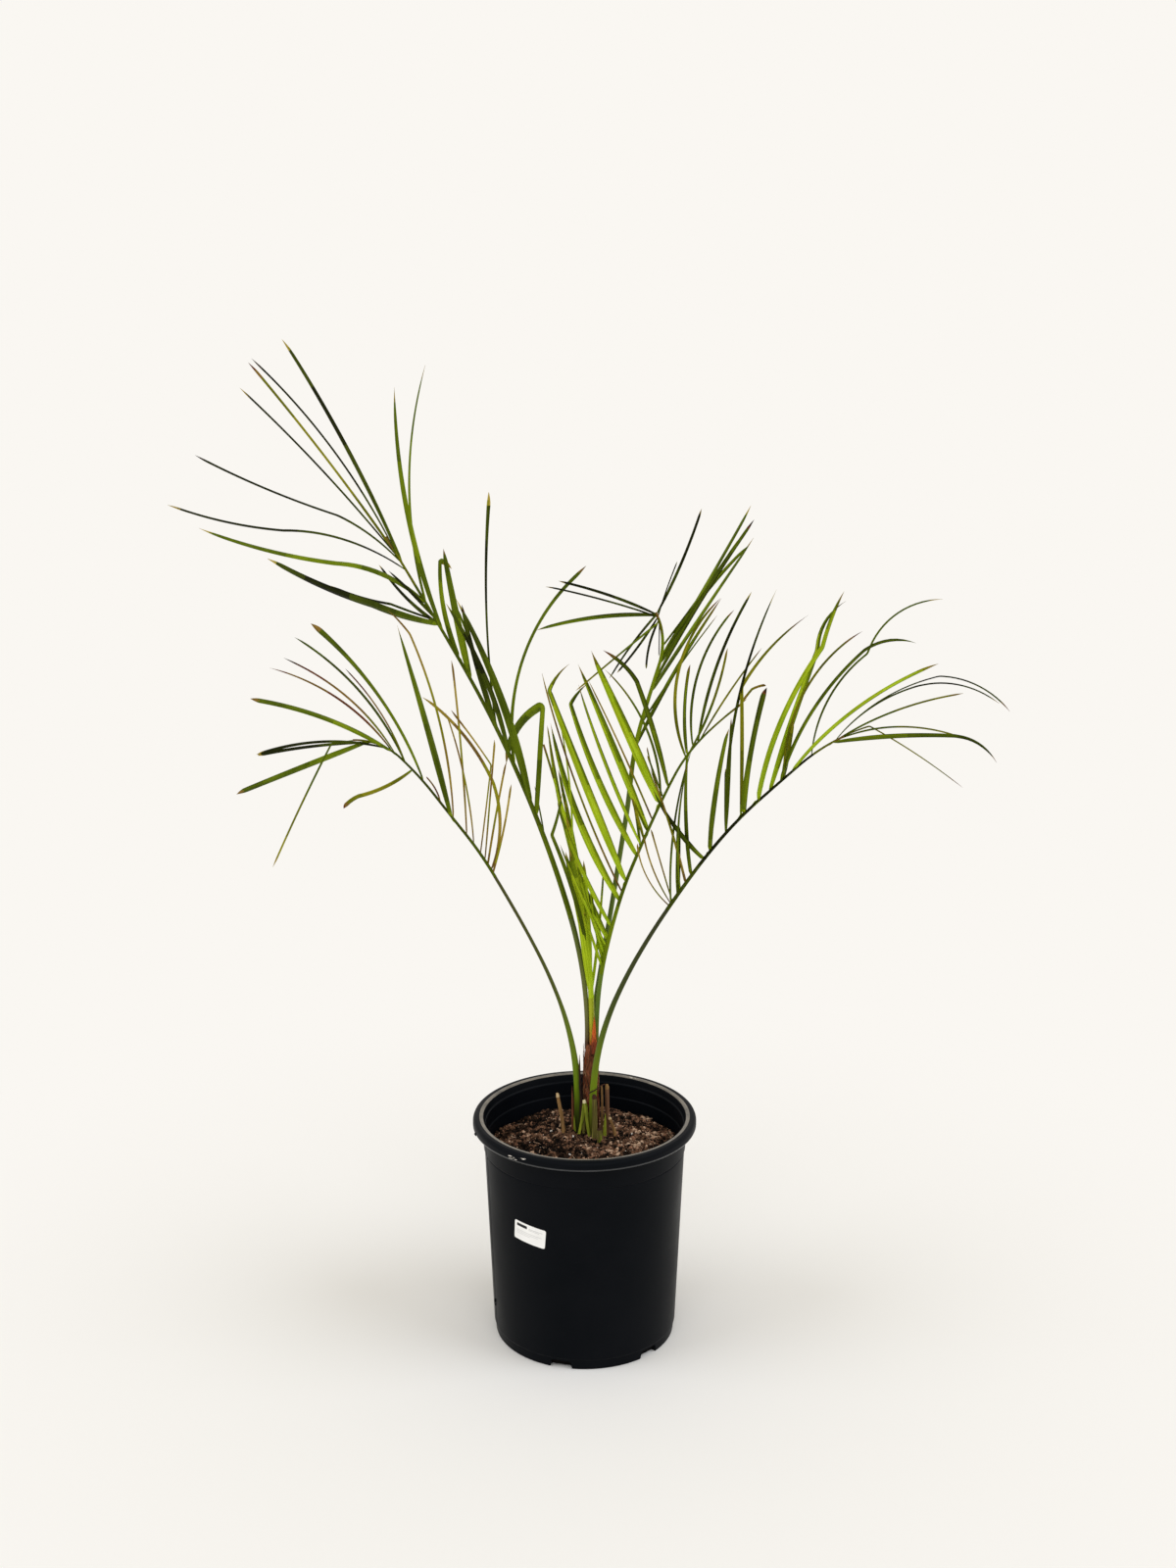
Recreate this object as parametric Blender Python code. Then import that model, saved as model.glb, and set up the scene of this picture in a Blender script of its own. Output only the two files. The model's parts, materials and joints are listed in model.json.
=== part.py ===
"""Potted pindo palm: a young feather palm with six fronds in a black nursery pot.

Metres, +Z up. The origin is the centre of the pot's flat underside, and -Y is the front.
"""

import math
from dataclasses import dataclass

import bmesh
import bpy
from mathutils import Matrix, Vector

# Driving dimensions of the pot
POT_HEIGHT = 0.272
BASE_RADIUS = 0.1055
FOOT_RADIUS = 0.1075
SHOULDER_RADIUS = 0.1165
RIM_RADIUS = 0.130
RIM_INNER_RADIUS = 0.1187
RIM_DROP = 0.0115
WALL = 0.0022
FLOOR = 0.0025
BAND_HEIGHT = 0.2335
POT_SIDES = 48
NOTCH_ANGLES = (-105, -45, 75, 135)
NOTCH_WIDTH = 0.027
NOTCH_HEIGHT = 0.010

# Driving dimensions of the potting mix
SOIL_TOP = 0.2435
SOIL_EDGE = 0.229
SOIL_SIDES = 28
SOIL_PLATEAU = 0.040

# Driving dimensions of the label on the wall
LABEL_ANGLE = -123.5
LABEL_WIDTH = 0.0425
LABEL_HEIGHT = 0.0235
LABEL_CENTRE = 0.1665
LABEL_TILT = -5.4
LABEL_THICK = 0.0006

# Driving dimensions of the crown's foot
STEM_CENTRE = (0.0075, 0.0165)
STEM_FOOT_RADIUS = 0.0096
STEM_TOP_RADIUS = 0.0088
STEM_TOP = 0.352
SHEATH_CENTRE = (0.0106, 0.0085)
SHEATH_WIDTH = 0.0056
SHEATH_THICK = 0.0018
SHEATH_HEIGHT = 0.040

# Clearance between neighbouring solids
GAP = 0.0003

# How finely the fronds are drawn
STALK_STEPS = 14
RIB_STEPS = 16
RIB_SIDES = 6
LEAF_STEPS = 4
LEAF_THICKNESS = 0.0105
LEAF_TWIST = 35.0
FRONT_RISE = 15.8
ROOT_MARGIN = 0.005


@dataclass
class Run:
    """Leaflets that follow each other along one stretch of a rib.

    A pair of values belongs to the first and the last leaflet, and those between share out the
    difference; a single value is the same for all. Places on the rib go from 0 at the lowest leaflet
    to 1 at the tip. Lean is measured from upright, outward positive, in the frond's own upright
    plane, and spread is the angle out of that plane, positive to the left for someone looking
    outward from the stem. The taper is the share of the greatest width that is left near the tip; over
    1 the leaflet widens. The tone is its state, from bright to dry. A fold gives the place of a crease,
    its angle and how much the leaflet turns after it.
    """

    count: int
    at: tuple | float
    lean: tuple | float
    turn: tuple | float
    reach: tuple | float
    spread: tuple | float
    width: float
    taper: float
    tone: str
    fold: tuple = ()


@dataclass
class Frond:
    """One leaf of the palm: a stalk, and a rib that carries runs of leaflets.

    Leans are the rib's angles from upright at even distances from the foot to the tip. The last two
    radii are the rib's at the blade's start and at the tip, and those before belong to the stalk.
    """

    name: str
    foot: tuple
    heading: float
    length: float
    bare: float
    leans: tuple
    radii: tuple
    runs: list


LOW_LEFT = Frond(
    name="low_left",
    foot=(-0.0080, 0.0135, SOIL_TOP + GAP),
    heading=190,
    length=0.574,
    bare=0.590,
    leans=(-2, 2.5, 11.5, 19.5, 25, 27.5, 29, 36, 35.5, 44, 89),
    radii=(0.0050, 0.0040, 0.0024, 0.0020, 0.0019, 0.0011),
    runs=[
        Run(2, (0.00, 0.05), (-15, -9), (10, -2), (0.105, 0.121), (14, 4), 0.0030, 0.8, "dry"),
        Run(1, 0.08, -7, 0, 0.141, -14, 0.0023, 1.2, "dry"),
        Run(1, 0.02, -24, 87, 0.233, -20, 0.0042, 0.85, "dry", (0.42, 6, -19)),
        Run(1, 0.12, -6, 3, 0.181, 18, 0.0020, 1.2, "dry", (0.50, 37, 5)),
        Run(1, 0.18, 2, 15, 0.157, -10, 0.0022, 0.8, "dry"),
        Run(1, 0.24, 0, 4, 0.204, -16, 0.0027, 1.0, "dry"),
        Run(1, 0.35, 0, 24, 0.256, -14, 0.0029, 0.8, "dry", (0.79, 9, 11)),
        Run(1, 0.36, 14, 3, 0.224, 12, 0.0094, 0.22, "green"),
        Run(1, 0.45, 12, 31, 0.036, 8, 0.0024, 0.8, "olive"),
        Run(1, 0.59, 17, 30, 0.221, -10, 0.0040, 1.9, "green"),
        Run(1, 0.72, 19, 24, 0.126, 12, 0.0024, 0.8, "olive"),
        Run(1, 0.73, 20, 35, 0.188, -14, 0.0032, 0.8, "green"),
        Run(1, 0.79, 29, 36, 0.164, 10, 0.0029, 0.7, "green"),
        Run(1, 0.81, 32, 40, 0.166, -10, 0.0029, 0.45, "olive"),
        Run(1, 0.81, 55, 24, 0.166, 10, 0.0065, 0.95, "green"),
        Run(1, 0.91, 88, 12, 0.126, -8, 0.0036, 1.3, "dark"),
        Run(1, 0.84, 73, 35, 0.144, 8, 0.0038, 1.2, "dark"),
        Run(1, 0.93, 109, 2, 0.155, -10, 0.0071, 0.9, "green"),
        Run(1, 1.00, 96, 2, 0.179, 8, 0.0026, 0.9, "olive", (0.12, 55, 2)),
        Run(1, 0.67, 128, -35, 0.088, -6, 0.0050, 1.2, "olive", (0.75, 10, 40)),
    ],
)

TALL_LEFT = Frond(
    name="tall_left",
    foot=(0.0028, 0.0190, STEM_TOP + GAP),
    heading=155,
    length=0.640,
    bare=0.240,
    leans=(-2, 18, 26, 34, 35),
    radii=(0.0027, 0.0033, 0.0013),
    runs=[
        Run(1, 0.19, 14, 3, 0.063, -8, 0.0030, 0.6, "olive"),
        Run(1, 0.41, 6, 26, 0.178, 12, 0.0058, 0.5, "green"),
        Run(1, 0.28, 9, 20, 0.245, 6, 0.0090, 0.3, "green"),
        Run(1, 0.25, 3, -3, 0.225, -12, 0.0120, 0.5, "green", (0.61, 120, 50)),
        Run(1, 0.38, 15, -62, 0.262, -10, 0.0080, 0.9, "green"),
        Run(1, 0.47, 16, -10, 0.145, 12, 0.0058, 0.6, "green"),
        Run(1, 0.48, 22, 8, 0.155, -12, 0.0060, 0.6, "green"),
        Run(1, 0.48, 18, -14, 0.283, -18, 0.0046, 1.9, "olive"),
        Run(1, 0.67, 32, -35, 0.134, -10, 0.0120, 0.5, "green", (0.86, -95, -50)),
        Run(1, 0.61, 9, -4, 0.147, 10, 0.0082, 0.5, "green"),
        Run(2, (0.74, 0.82), (18, 25), (-26, -36), (0.268, 0.285), (12, -14), 0.0060, 0.35, "green"),
        Run(1, 0.76, 68, -24, 0.117, -16, 0.0076, 0.5, "dark"),
        Run(1, 0.78, 42, 9, 0.071, 10, 0.0040, 0.4, "dark"),
        Run(1, 0.82, 49, 109, 0.282, 10, 0.0066, 0.5, "green", (0.40, -4, -80)),
        Run(1, 0.76, 86, -31, 0.260, -8, 0.0104, 0.6, "green", (0.40, 6, 7)),
        Run(1, 0.77, 79, -4, 0.173, -16, 0.0036, 0.6, "dark", (0.40, 10, -11)),
        Run(2, (0.94, 0.95), (39, 26), (10, 25), (0.247, 0.271), (12, 6), 0.0023, 1.0, "dark"),
        Run(1, 0.91, 64, 59, 0.381, -10, 0.0033, 1.0, "dark", (0.45, 0, -46)),
        Run(1, 0.93, 44, 77, 0.267, 10, 0.0028, 1.0, "dark", (0.35, 6, -60)),
        Run(1, 0.93, 33, 10, 0.330, -14, 0.0076, 0.8, "green"),
        Run(1, 0.93, 43, 6, 0.327, -10, 0.0056, 0.9, "olive"),
    ],
)

SPEAR = Frond(
    name="spear",
    foot=(0.0087, 0.0172, STEM_TOP + GAP),
    heading=150,
    length=0.360,
    bare=0.160,
    leans=(0, 4, 9, 18, 20),
    radii=(0.0030, 0.0034, 0.0012),
    runs=[
        Run(6, (0.00, 0.53), (3, 16), (7, 0), (0.175, 0.110), (5, -6), 0.0104, 0.4, "bright"),
        Run(3, (0.00, 0.12), (-3, 7), (4, 2), (0.150, 0.135), (-9, 9), 0.0070, 0.5, "bright"),
        Run(1, 0.15, 2, 24, 0.205, 14, 0.0050, 0.4, "green", (0.72, -48, 6)),
        Run(1, 0.45, 26, -16, 0.185, -8, 0.0076, 0.5, "bright"),
        Run(2, (0.71, 0.75), (22, 9), (-6, -4), (0.080, 0.096), (-8, 8), 0.0025, 0.6, "olive"),
        Run(1, 0.60, -4, 14, 0.150, 6, 0.0023, 0.4, "bright"),
    ],
)

FAN = Frond(
    name="fan",
    foot=(0.0139, 0.0122, STEM_TOP + GAP),
    heading=-10,
    length=0.458,
    bare=0.196,
    leans=(-1, 4.5, 12, 15.5, 21.5, 23, 26, 42.5, 52),
    radii=(0.0027, 0.0026, 0.0010),
    runs=[
        Run(1, 0.01, -16, 2, 0.070, -16, 0.0056, 0.4, "bright"),
        Run(1, 0.05, -17, -8, 0.124, 14, 0.0056, 0.4, "bright"),
        Run(3, (0.02, 0.08), (-14, -25), 6, (0.096, 0.130), (10, -12), 0.0050, 0.4, "bright"),
        Run(2, (0.10, 0.15), (-31, -29), (11, 14), (0.126, 0.157), (18, -8), 0.0080, 0.4, "bright"),
        Run(1, 0.24, -34, 21, 0.226, 14, 0.0092, 0.25, "bright"),
        Run(1, 0.31, -21, 3, 0.268, -12, 0.0118, 0.3, "bright", (0.80, 30, 40)),
        Run(1, 0.40, -33, 16, 0.228, 16, 0.0088, 0.35, "bright", (0.88, 46, 22)),
        Run(1, 0.27, -22, 12, 0.257, -22, 0.0028, 0.6, "dry"),
        Run(1, 0.53, -19, -5, 0.167, -22, 0.0026, 0.5, "dry"),
        Run(3, (0.43, 0.49), (-8, -22), (-7, 0), (0.059, 0.042), (16, -16), 0.0037, 0.4, "olive"),
        Run(1, 0.44, -25, 9, 0.194, -6, 0.0054, 0.4, "bright"),
        Run(1, 0.49, -24, -1, 0.210, 12, 0.0094, 0.3, "bright"),
        Run(1, 0.59, -23, -1, 0.185, -8, 0.0130, 0.35, "bright"),
        Run(1, 0.59, -1, -48, 0.174, 16, 0.0033, 0.5, "olive"),
        Run(2, (0.60, 0.61), (-18, -22), (8, 0), (0.063, 0.052), (-10, 10), 0.0026, 0.9, "olive"),
        Run(1, 0.65, -11, -11, 0.171, -14, 0.0072, 0.6, "green", (0.70, -9, -35)),
        Run(1, 0.76, -25, 68, 0.199, 16, 0.0046, 0.5, "olive"),
        Run(1, 0.77, -7, 19, 0.102, -12, 0.0060, 0.7, "olive"),
        Run(2, (0.80, 0.82), (-8, 5), (50, 22), (0.165, 0.185), (-14, 18), 0.0041, 0.75, "green"),
        Run(1, 0.78, 31, -20, 0.126, -18, 0.0036, 0.9, "olive"),
        Run(1, 0.83, 26, 9, 0.126, 12, 0.0024, 0.6, "olive"),
        Run(1, 0.86, 42, 8, 0.060, 10, 0.0020, 0.6, "olive"),
        Run(1, 1.00, 33, 10, 0.038, -8, 0.0034, 0.9, "dry", (0.50, 17, 23)),
    ],
)

TALL_RIGHT = Frond(
    name="tall_right",
    foot=(0.0078, 0.0236, STEM_TOP + GAP),
    heading=40,
    length=0.512,
    bare=0.598,
    leans=(4, 12, 13, 11.5, 12, 7, 22, 23.5, -34),
    radii=(0.0028, 0.0030, 0.0017),
    runs=[
        Run(2, (0.20, 0.33), (29, 48), (13, 8), (0.193, 0.179), (-6, 8), 0.0047, 0.4, "olive"),
        Run(1, 0.57, 31, 10, 0.215, -8, 0.0044, 0.8, "green"),
        Run(1, 0.53, 49, 3, 0.250, 8, 0.0100, 0.35, "green"),
        Run(1, 0.70, 44, -2, 0.228, 4, 0.0104, 0.5, "green"),
        Run(2, (0.73, 0.80), (34, 54), (21, -4), (0.162, 0.176), (-8, 8), 0.0048, 0.6, "green"),
        Run(2, (1.00, 0.98), (35, 26), (-15, 9), (0.128, 0.070), (-4, 6), 0.0034, 0.8, "dark"),
        Run(2, (1.00, 0.98), (-66, -68), (-9, -6), 0.167, (-6, 2), 0.0037, 0.7, "dark"),
        Run(1, 0.99, -79, -18, 0.158, 8, 0.0064, 0.45, "green"),
        Run(1, 0.95, -111, -2, 0.158, -10, 0.0048, 0.6, "olive"),
        Run(1, 1.00, -121, -15, 0.101, -6, 0.0056, 0.55, "dark"),
        Run(2, (0.98, 0.96), (-143, -149), (13, -38), (0.078, 0.057), (6, 8), 0.0028, 0.8, "dark"),
        Run(1, 0.95, -172, 0, 0.040, -8, 0.0031, 0.7, "dark"),
    ],
)

LOW_RIGHT = Frond(
    name="low_right",
    foot=(0.0096, 0.0016, SOIL_TOP + GAP),
    heading=-25,
    length=0.612,
    bare=0.511,
    leans=(-2, 3.5, 14.5, 23.5, 28.5, 32, 34, 38.5, 45, 45.5, 59.5),
    radii=(0.0047, 0.0040, 0.0033, 0.0027, 0.0023, 0.0011),
    runs=[
        Run(3, (0.00, 0.02), (-51, -23), (50, 1), (0.079, 0.087), (-10, 10), 0.0018, 1.2, "dry"),
        Run(1, 0.01, -1, 20, 0.182, -5, 0.0043, 0.45, "green"),
        Run(1, 0.08, -1, 19, 0.150, -14, 0.0041, 0.4, "green"),
        Run(1, 0.06, -5, 0, 0.080, 12, 0.0054, 0.85, "green"),
        Run(1, 0.39, -6, 0, 0.073, 12, 0.0036, 0.6, "green"),
        Run(1, 0.12, -10, -10, 0.131, -10, 0.0036, 0.35, "dry"),
        Run(1, 0.16, -5, 13, 0.157, -8, 0.0086, 0.25, "green", (0.85, 18, 10)),
        Run(1, 0.25, -48, 23, 0.090, -12, 0.0092, 0.2, "green"),
        Run(1, 0.39, -2, -2, 0.130, 12, 0.0038, 0.6, "green"),
        Run(1, 0.29, 8, 9, 0.145, -12, 0.0108, 0.5, "green"),
        Run(1, 0.39, -7, 28, 0.281, 10, 0.0036, 0.4, "green"),
        Run(1, 0.50, 8, 11, 0.147, -12, 0.0132, 0.75, "green"),
        Run(1, 0.48, -4, -5, 0.255, 12, 0.0044, 0.3, "olive", (0.60, 33, 26)),
        Run(1, 0.58, 13, 31, 0.257, -10, 0.0116, 0.45, "bright", (0.70, -21, 5)),
        Run(1, 0.72, 1, 56, 0.197, -10, 0.0050, 0.5, "olive"),
        Run(1, 0.64, 11, 6, 0.229, 12, 0.0070, 0.25, "bright", (0.75, -14, 51)),
        Run(1, 0.71, 4, 0, 0.066, 14, 0.0060, 0.5, "olive"),
        Run(1, 0.70, 19, 38, 0.241, -10, 0.0074, 0.4, "green", (0.72, 0, 45)),
        Run(1, 0.76, 38, 27, 0.213, -10, 0.0066, 0.6, "bright"),
        Run(1, 0.86, 0, 84, 0.235, 10, 0.0025, 0.7, "green", (0.60, -31, 31)),
        Run(1, 0.97, 38, 55, 0.227, -8, 0.0019, 0.9, "green", (0.60, 11, 32)),
        Run(1, 0.97, 33, 63, 0.196, 8, 0.0019, 0.9, "green", (0.60, 3, 26)),
        Run(2, (0.97, 0.98), (51, 60), (24, 44), (0.145, 0.129), 10, 0.0023, 0.9, "olive"),
        Run(1, 0.96, 75, 16, 0.186, 0, 0.0060, 0.4, "green", (0.75, 7, 51)),
        Run(1, 0.98, 53, 55, 0.147, 14, 0.0021, 0.5, "olive", (0.30, 46, -28)),
    ],
)

FRONDS = (LOW_LEFT, TALL_LEFT, SPEAR, FAN, TALL_RIGHT, LOW_RIGHT)


@dataclass
class Stub:
    """The foot of an old leaf that was cut off, standing on the potting mix."""

    name: str
    place: tuple
    height: float
    radius: float
    lean: tuple
    tone: str


STUBS = (
    Stub("stub_left", (-0.0236, 0.0105), 0.0500, 0.0024, (-0.0084, 0.0), "tan"),
    Stub("stub_cream", (0.0006, 0.0035), 0.0450, 0.0029, (-0.0004, 0.0), "cream"),
    Stub("stub_striped", (0.0112, -0.0071), 0.0560, 0.0031, (0.0, 0.0), "olive"),
    Stub("stub_thin", (0.0198, 0.0125), 0.0590, 0.0015, (0.0, 0.0), "tan"),
    Stub("stub_right", (0.0252, 0.0062), 0.0630, 0.0028, (0.0008, 0.0), "tan"),
    Stub("stub_slant", (0.0370, 0.0030), 0.0230, 0.0022, (-0.0080, 0.0), "tan"),
    Stub("stub_low", (0.0172, -0.0135), 0.0165, 0.0034, (0.0, 0.0), "tan"),
    Stub("bract", (-0.0035, 0.0068), 0.1000, 0.0017, (-0.0020, 0.0), "dark"),
)


def share(value, index, count):
    """What leaflet number index of a run gets from a pair of end values, or from one value for all."""
    if not isinstance(value, tuple):
        return value
    return value[0] + (value[1] - value[0]) * index / (count - 1)


def blend(stations, t):
    """The value at fraction t of a list of values spaced evenly."""
    place = min(max(t, 0.0), 1.0) * (len(stations) - 1)
    low = min(int(place), len(stations) - 2)
    return stations[low] + (stations[low + 1] - stations[low]) * (place - low)


def plane_axes(frond):
    """The frond's outward direction and its sideways one, which is tipped so that the front rises."""
    heading = math.radians(frond.heading)
    outward = Vector((math.cos(heading), math.sin(heading), 0.0))
    sideways = Vector((-math.sin(heading), math.cos(heading), 0.0))
    sideways.z = -math.tan(math.radians(FRONT_RISE)) * sideways.y
    return outward, sideways


def rib_point(frond, t, steps=120):
    """The rib's centre at fraction t of its whole length, added up from short leaning steps."""
    outward, _ = plane_axes(frond)
    point = Vector(frond.foot)
    step = frond.length * t / steps
    for index in range(steps):
        lean = math.radians(blend(frond.leans, t * (index + 0.5) / steps))
        point += outward * math.sin(lean) * step + Vector((0, 0, math.cos(lean) * step))
    return point


def blade_place(frond, at):
    """The fraction of the whole rib where a leaflet grows, a little clear of the blade's ends."""
    first = frond.bare + ROOT_MARGIN / frond.length
    last = 1.0 - 0.4 * ROOT_MARGIN / frond.length
    return first + (last - first) * at


def leaflets(frond):
    """Every leaflet of a frond: its centre line, its width, its taper and its sideways direction."""
    outward, sideways = plane_axes(frond)
    for run in frond.runs:
        for index in range(run.count):
            at, lean, turn, reach, spread = (
                share(value, index, run.count)
                for value in (run.at, run.lean, run.turn, run.reach, run.spread)
            )
            bend_at, bend, after = run.fold or (2.0, 0.0, 0.0)
            steps = LEAF_STEPS + int(abs(turn) / 30) + (3 if run.fold else 0)
            point = rib_point(frond, blade_place(frond, at))
            line = [point.copy()]
            for number in range(steps):
                s = (number + 0.5) / steps
                angle = lean + turn * s
                if s > bend_at:
                    angle += bend + after * (s - bend_at) / (1.0 - bend_at)
                angle = math.radians(angle)
                way = outward * math.sin(angle) + Vector((0, 0, math.cos(angle)))
                way += sideways * math.tan(math.radians(spread))
                point = point + way * reach / steps
                line.append(point)
            yield line, run.width, run.taper, math.copysign(1.0, spread)


def material(name, colour, roughness):
    """A plain Principled material."""
    made = bpy.data.materials.new(name)
    made.use_nodes = True
    shader = made.node_tree.nodes["Principled BSDF"]
    shader.inputs["Base Color"].default_value = (*colour, 1.0)
    shader.inputs["Roughness"].default_value = roughness
    return made


def new_object(name, mesh, look=None, smooth=True):
    """Put a mesh in the scene under a name, with its material and shading."""
    made = bpy.data.objects.new(name, mesh)
    bpy.context.scene.collection.objects.link(made)
    if look is not None:
        mesh.materials.append(look)
    for face in mesh.polygons:
        face.use_smooth = smooth
    return made


def loft(name, rings):
    """A closed mesh through rings of equal size; a ring of one point closes its end in a cone."""
    mesh = bmesh.new()
    rows = [[mesh.verts.new(point) for point in ring] for ring in rings]
    for lower, upper in zip(rows, rows[1:]):
        sides = max(len(lower), len(upper))
        for index in range(sides):
            after = (index + 1) % sides
            if len(upper) == 1:
                mesh.faces.new((lower[index], lower[after], upper[0]))
            elif len(lower) == 1:
                mesh.faces.new((lower[0], upper[after], upper[index]))
            else:
                mesh.faces.new((lower[index], lower[after], upper[after], upper[index]))
    if len(rows[0]) > 1:
        mesh.faces.new(reversed(rows[0]))
    if len(rows[-1]) > 1:
        mesh.faces.new(rows[-1])
    bmesh.ops.recalc_face_normals(mesh, faces=mesh.faces)
    data = bpy.data.meshes.new(name)
    mesh.to_mesh(data)
    mesh.free()
    return data


def directions(line):
    """The direction of a polyline at each of its points."""
    steps = [(after - before).normalized() for before, after in zip(line, line[1:])]
    inner = [(before + after).normalized() for before, after in zip(steps, steps[1:])]
    return [steps[0]] + inner + [steps[-1]]


def tube(name, line, radii, sideways, sides=RIB_SIDES):
    """A round tapered rod along a polyline that lies in an upright plane."""
    rings = []
    for index, (point, way) in enumerate(zip(line, directions(line))):
        radius = blend(radii, index / (len(line) - 1))
        across = (sideways - way * sideways.dot(way)).normalized()
        other = way.cross(across)
        turns = (2 * math.pi * side / sides for side in range(sides))
        rings.append([
            point + (across * math.cos(turn) + other * math.sin(turn)) * radius for turn in turns
        ])
    return loft(name, rings)


def leaf_fullness(t, taper):
    """How wide a leaflet is along its length, as a share of its named width."""
    if t < 0.3:
        return 0.55 + 0.45 * math.sin(math.pi / 2 * t / 0.3)
    return 1.0 - (1.0 - taper) * ((t - 0.3) / 0.7) ** 1.8


def leaflet_mesh(name, line, width, taper, side, sideways):
    """One leaflet as a slim solid of four long faces that ends in a point."""
    length = sum((after - before).length for before, after in zip(line, line[1:]))
    half_thick = 0.5 * LEAF_THICKNESS * length
    twist = math.radians(LEAF_TWIST) * side
    rings = []
    for index, (point, way) in enumerate(zip(line, directions(line))):
        t = index / (len(line) - 1)
        level = (sideways - way * sideways.dot(way)).normalized()
        upright = level.cross(way)
        across = upright * math.cos(twist) + level * math.sin(twist)
        through = across.cross(way)
        if index == len(line) - 1:
            rings.append([point])
            continue
        full = leaf_fullness(t, taper)
        half = 0.5 * width * full
        thick = half_thick * (0.6 + 0.4 * min(full, 1.0))
        rings.append([
            point + across * half, point + through * thick,
            point - across * half, point - through * thick,
        ])
    return loft(name, rings)


def drop_scraps(data):
    """Keep a mesh's largest connected piece only: tiny loose bits and sealed hollows go."""
    mesh = bmesh.new()
    mesh.from_mesh(data)
    left = set(mesh.verts)
    pieces = []
    while left:
        piece = {left.pop()}
        edge_of_piece = list(piece)
        while edge_of_piece:
            vert = edge_of_piece.pop()
            near = {edge.other_vert(vert) for edge in vert.link_edges} - piece
            piece |= near
            edge_of_piece += near
        left -= piece
        pieces.append(piece)
    pieces.sort(key=len)
    for piece in pieces[:-1]:
        bmesh.ops.delete(mesh, geom=list(piece), context="VERTS")
    mesh.to_mesh(data)
    mesh.free()


def fuse(base, meshes):
    """Join a list of overlapping meshes to a base object by one Boolean union."""
    group = bpy.data.collections.new(base.name + "_joined")
    bpy.context.scene.collection.children.link(group)
    for mesh in meshes:
        group.objects.link(bpy.data.objects.new(mesh.name, mesh))
    union = base.modifiers.new("union", "BOOLEAN")
    union.operation = "UNION"
    union.operand_type = "COLLECTION"
    union.collection = group
    union.solver = "MANIFOLD"
    bpy.context.view_layer.update()
    shown = base.evaluated_get(bpy.context.evaluated_depsgraph_get())
    joined = bpy.data.meshes.new_from_object(shown)
    drop_scraps(joined)
    base.modifiers.clear()
    old = base.data
    base.data = joined
    bpy.data.meshes.remove(old)
    for piece in list(group.objects):
        bpy.data.objects.remove(piece, do_unlink=True)
    bpy.data.collections.remove(group)


def build_frond(frond, stalk_look, blade_look):
    """One leaf of the palm as two solids: the bare stalk, and the rib with its leaflets."""
    _, sideways = plane_axes(frond)
    stalk_end = frond.bare - GAP / frond.length
    line = [rib_point(frond, stalk_end * step / STALK_STEPS) for step in range(STALK_STEPS + 1)]
    stalk = tube(frond.name + "_stalk", line, frond.radii[:-1], sideways)
    new_object("petiole_" + frond.name, stalk, stalk_look)
    line = [
        rib_point(frond, frond.bare + (1.0 - frond.bare) * step / RIB_STEPS)
        for step in range(RIB_STEPS + 1)
    ]
    rib = tube(frond.name + "_rib", line, frond.radii[-2:], sideways)
    blade = new_object("frond_" + frond.name, rib, blade_look)
    meshes = [
        leaflet_mesh(f"{frond.name}_{number}", path, width, taper, side, sideways)
        for number, (path, width, taper, side) in enumerate(leaflets(frond))
    ]
    fuse(blade, meshes)
    for face in blade.data.polygons:
        face.use_smooth = False


def revolve(name, profile, sides):
    """A closed solid of revolution through (radius, height) points, from one axis end to the other."""
    rings = []
    for radius, height in profile:
        if radius == 0:
            rings.append([Vector((0, 0, height))])
            continue
        turns = (2 * math.pi * side / sides for side in range(sides))
        rings.append([
            Vector((radius * math.cos(turn), radius * math.sin(turn), height)) for turn in turns
        ])
    return loft(name, rings)


def wall_radius(height):
    """The outer radius of the pot's plain wall at a height."""
    rise = (height - 0.0135) / (BAND_HEIGHT - 0.0135)
    return FOOT_RADIUS + (SHOULDER_RADIUS - FOOT_RADIUS) * min(max(rise, 0.0), 1.0)


def pot_profile():
    """The pot's section: up the outside, over the rim and down the inside to the floor."""
    skirt = POT_HEIGHT - RIM_DROP
    inner = wall_radius(BAND_HEIGHT) - WALL
    return [
        (0.0, 0.0), (BASE_RADIUS - 0.0012, 0.0), (BASE_RADIUS, 0.0012),
        (BASE_RADIUS + 0.0006, 0.0123), (FOOT_RADIUS, 0.0135),
        (SHOULDER_RADIUS, BAND_HEIGHT - 0.001), (SHOULDER_RADIUS + 0.0011, BAND_HEIGHT + 0.0005),
        (SHOULDER_RADIUS + 0.0021, skirt), (RIM_RADIUS - 0.0013, skirt), (RIM_RADIUS, skirt + 0.001),
        (RIM_RADIUS, POT_HEIGHT - 0.0026), (RIM_RADIUS - 0.0008, POT_HEIGHT - 0.0008),
        (RIM_RADIUS - 0.0026, POT_HEIGHT), (RIM_INNER_RADIUS, POT_HEIGHT),
        (RIM_INNER_RADIUS - 0.0018, POT_HEIGHT - 0.0018), (inner + 0.0012, POT_HEIGHT - 0.009),
        (inner + 0.0004, POT_HEIGHT - 0.0098), (inner, BAND_HEIGHT + 0.0115),
        (inner - 0.0010, BAND_HEIGHT + 0.0105), (inner - 0.0014, BAND_HEIGHT),
        (FOOT_RADIUS - WALL - 0.001, FLOOR + 0.012), (FOOT_RADIUS - WALL - 0.003, FLOOR), (0.0, FLOOR),
    ]


def inner_radius(height):
    """The radius inside the pot at a height below its top band."""
    rise = (height - FLOOR - 0.012) / (BAND_HEIGHT - FLOOR - 0.012)
    low = FOOT_RADIUS - WALL - 0.001
    high = wall_radius(BAND_HEIGHT) - WALL - 0.0014
    return low + (high - low) * rise


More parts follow.
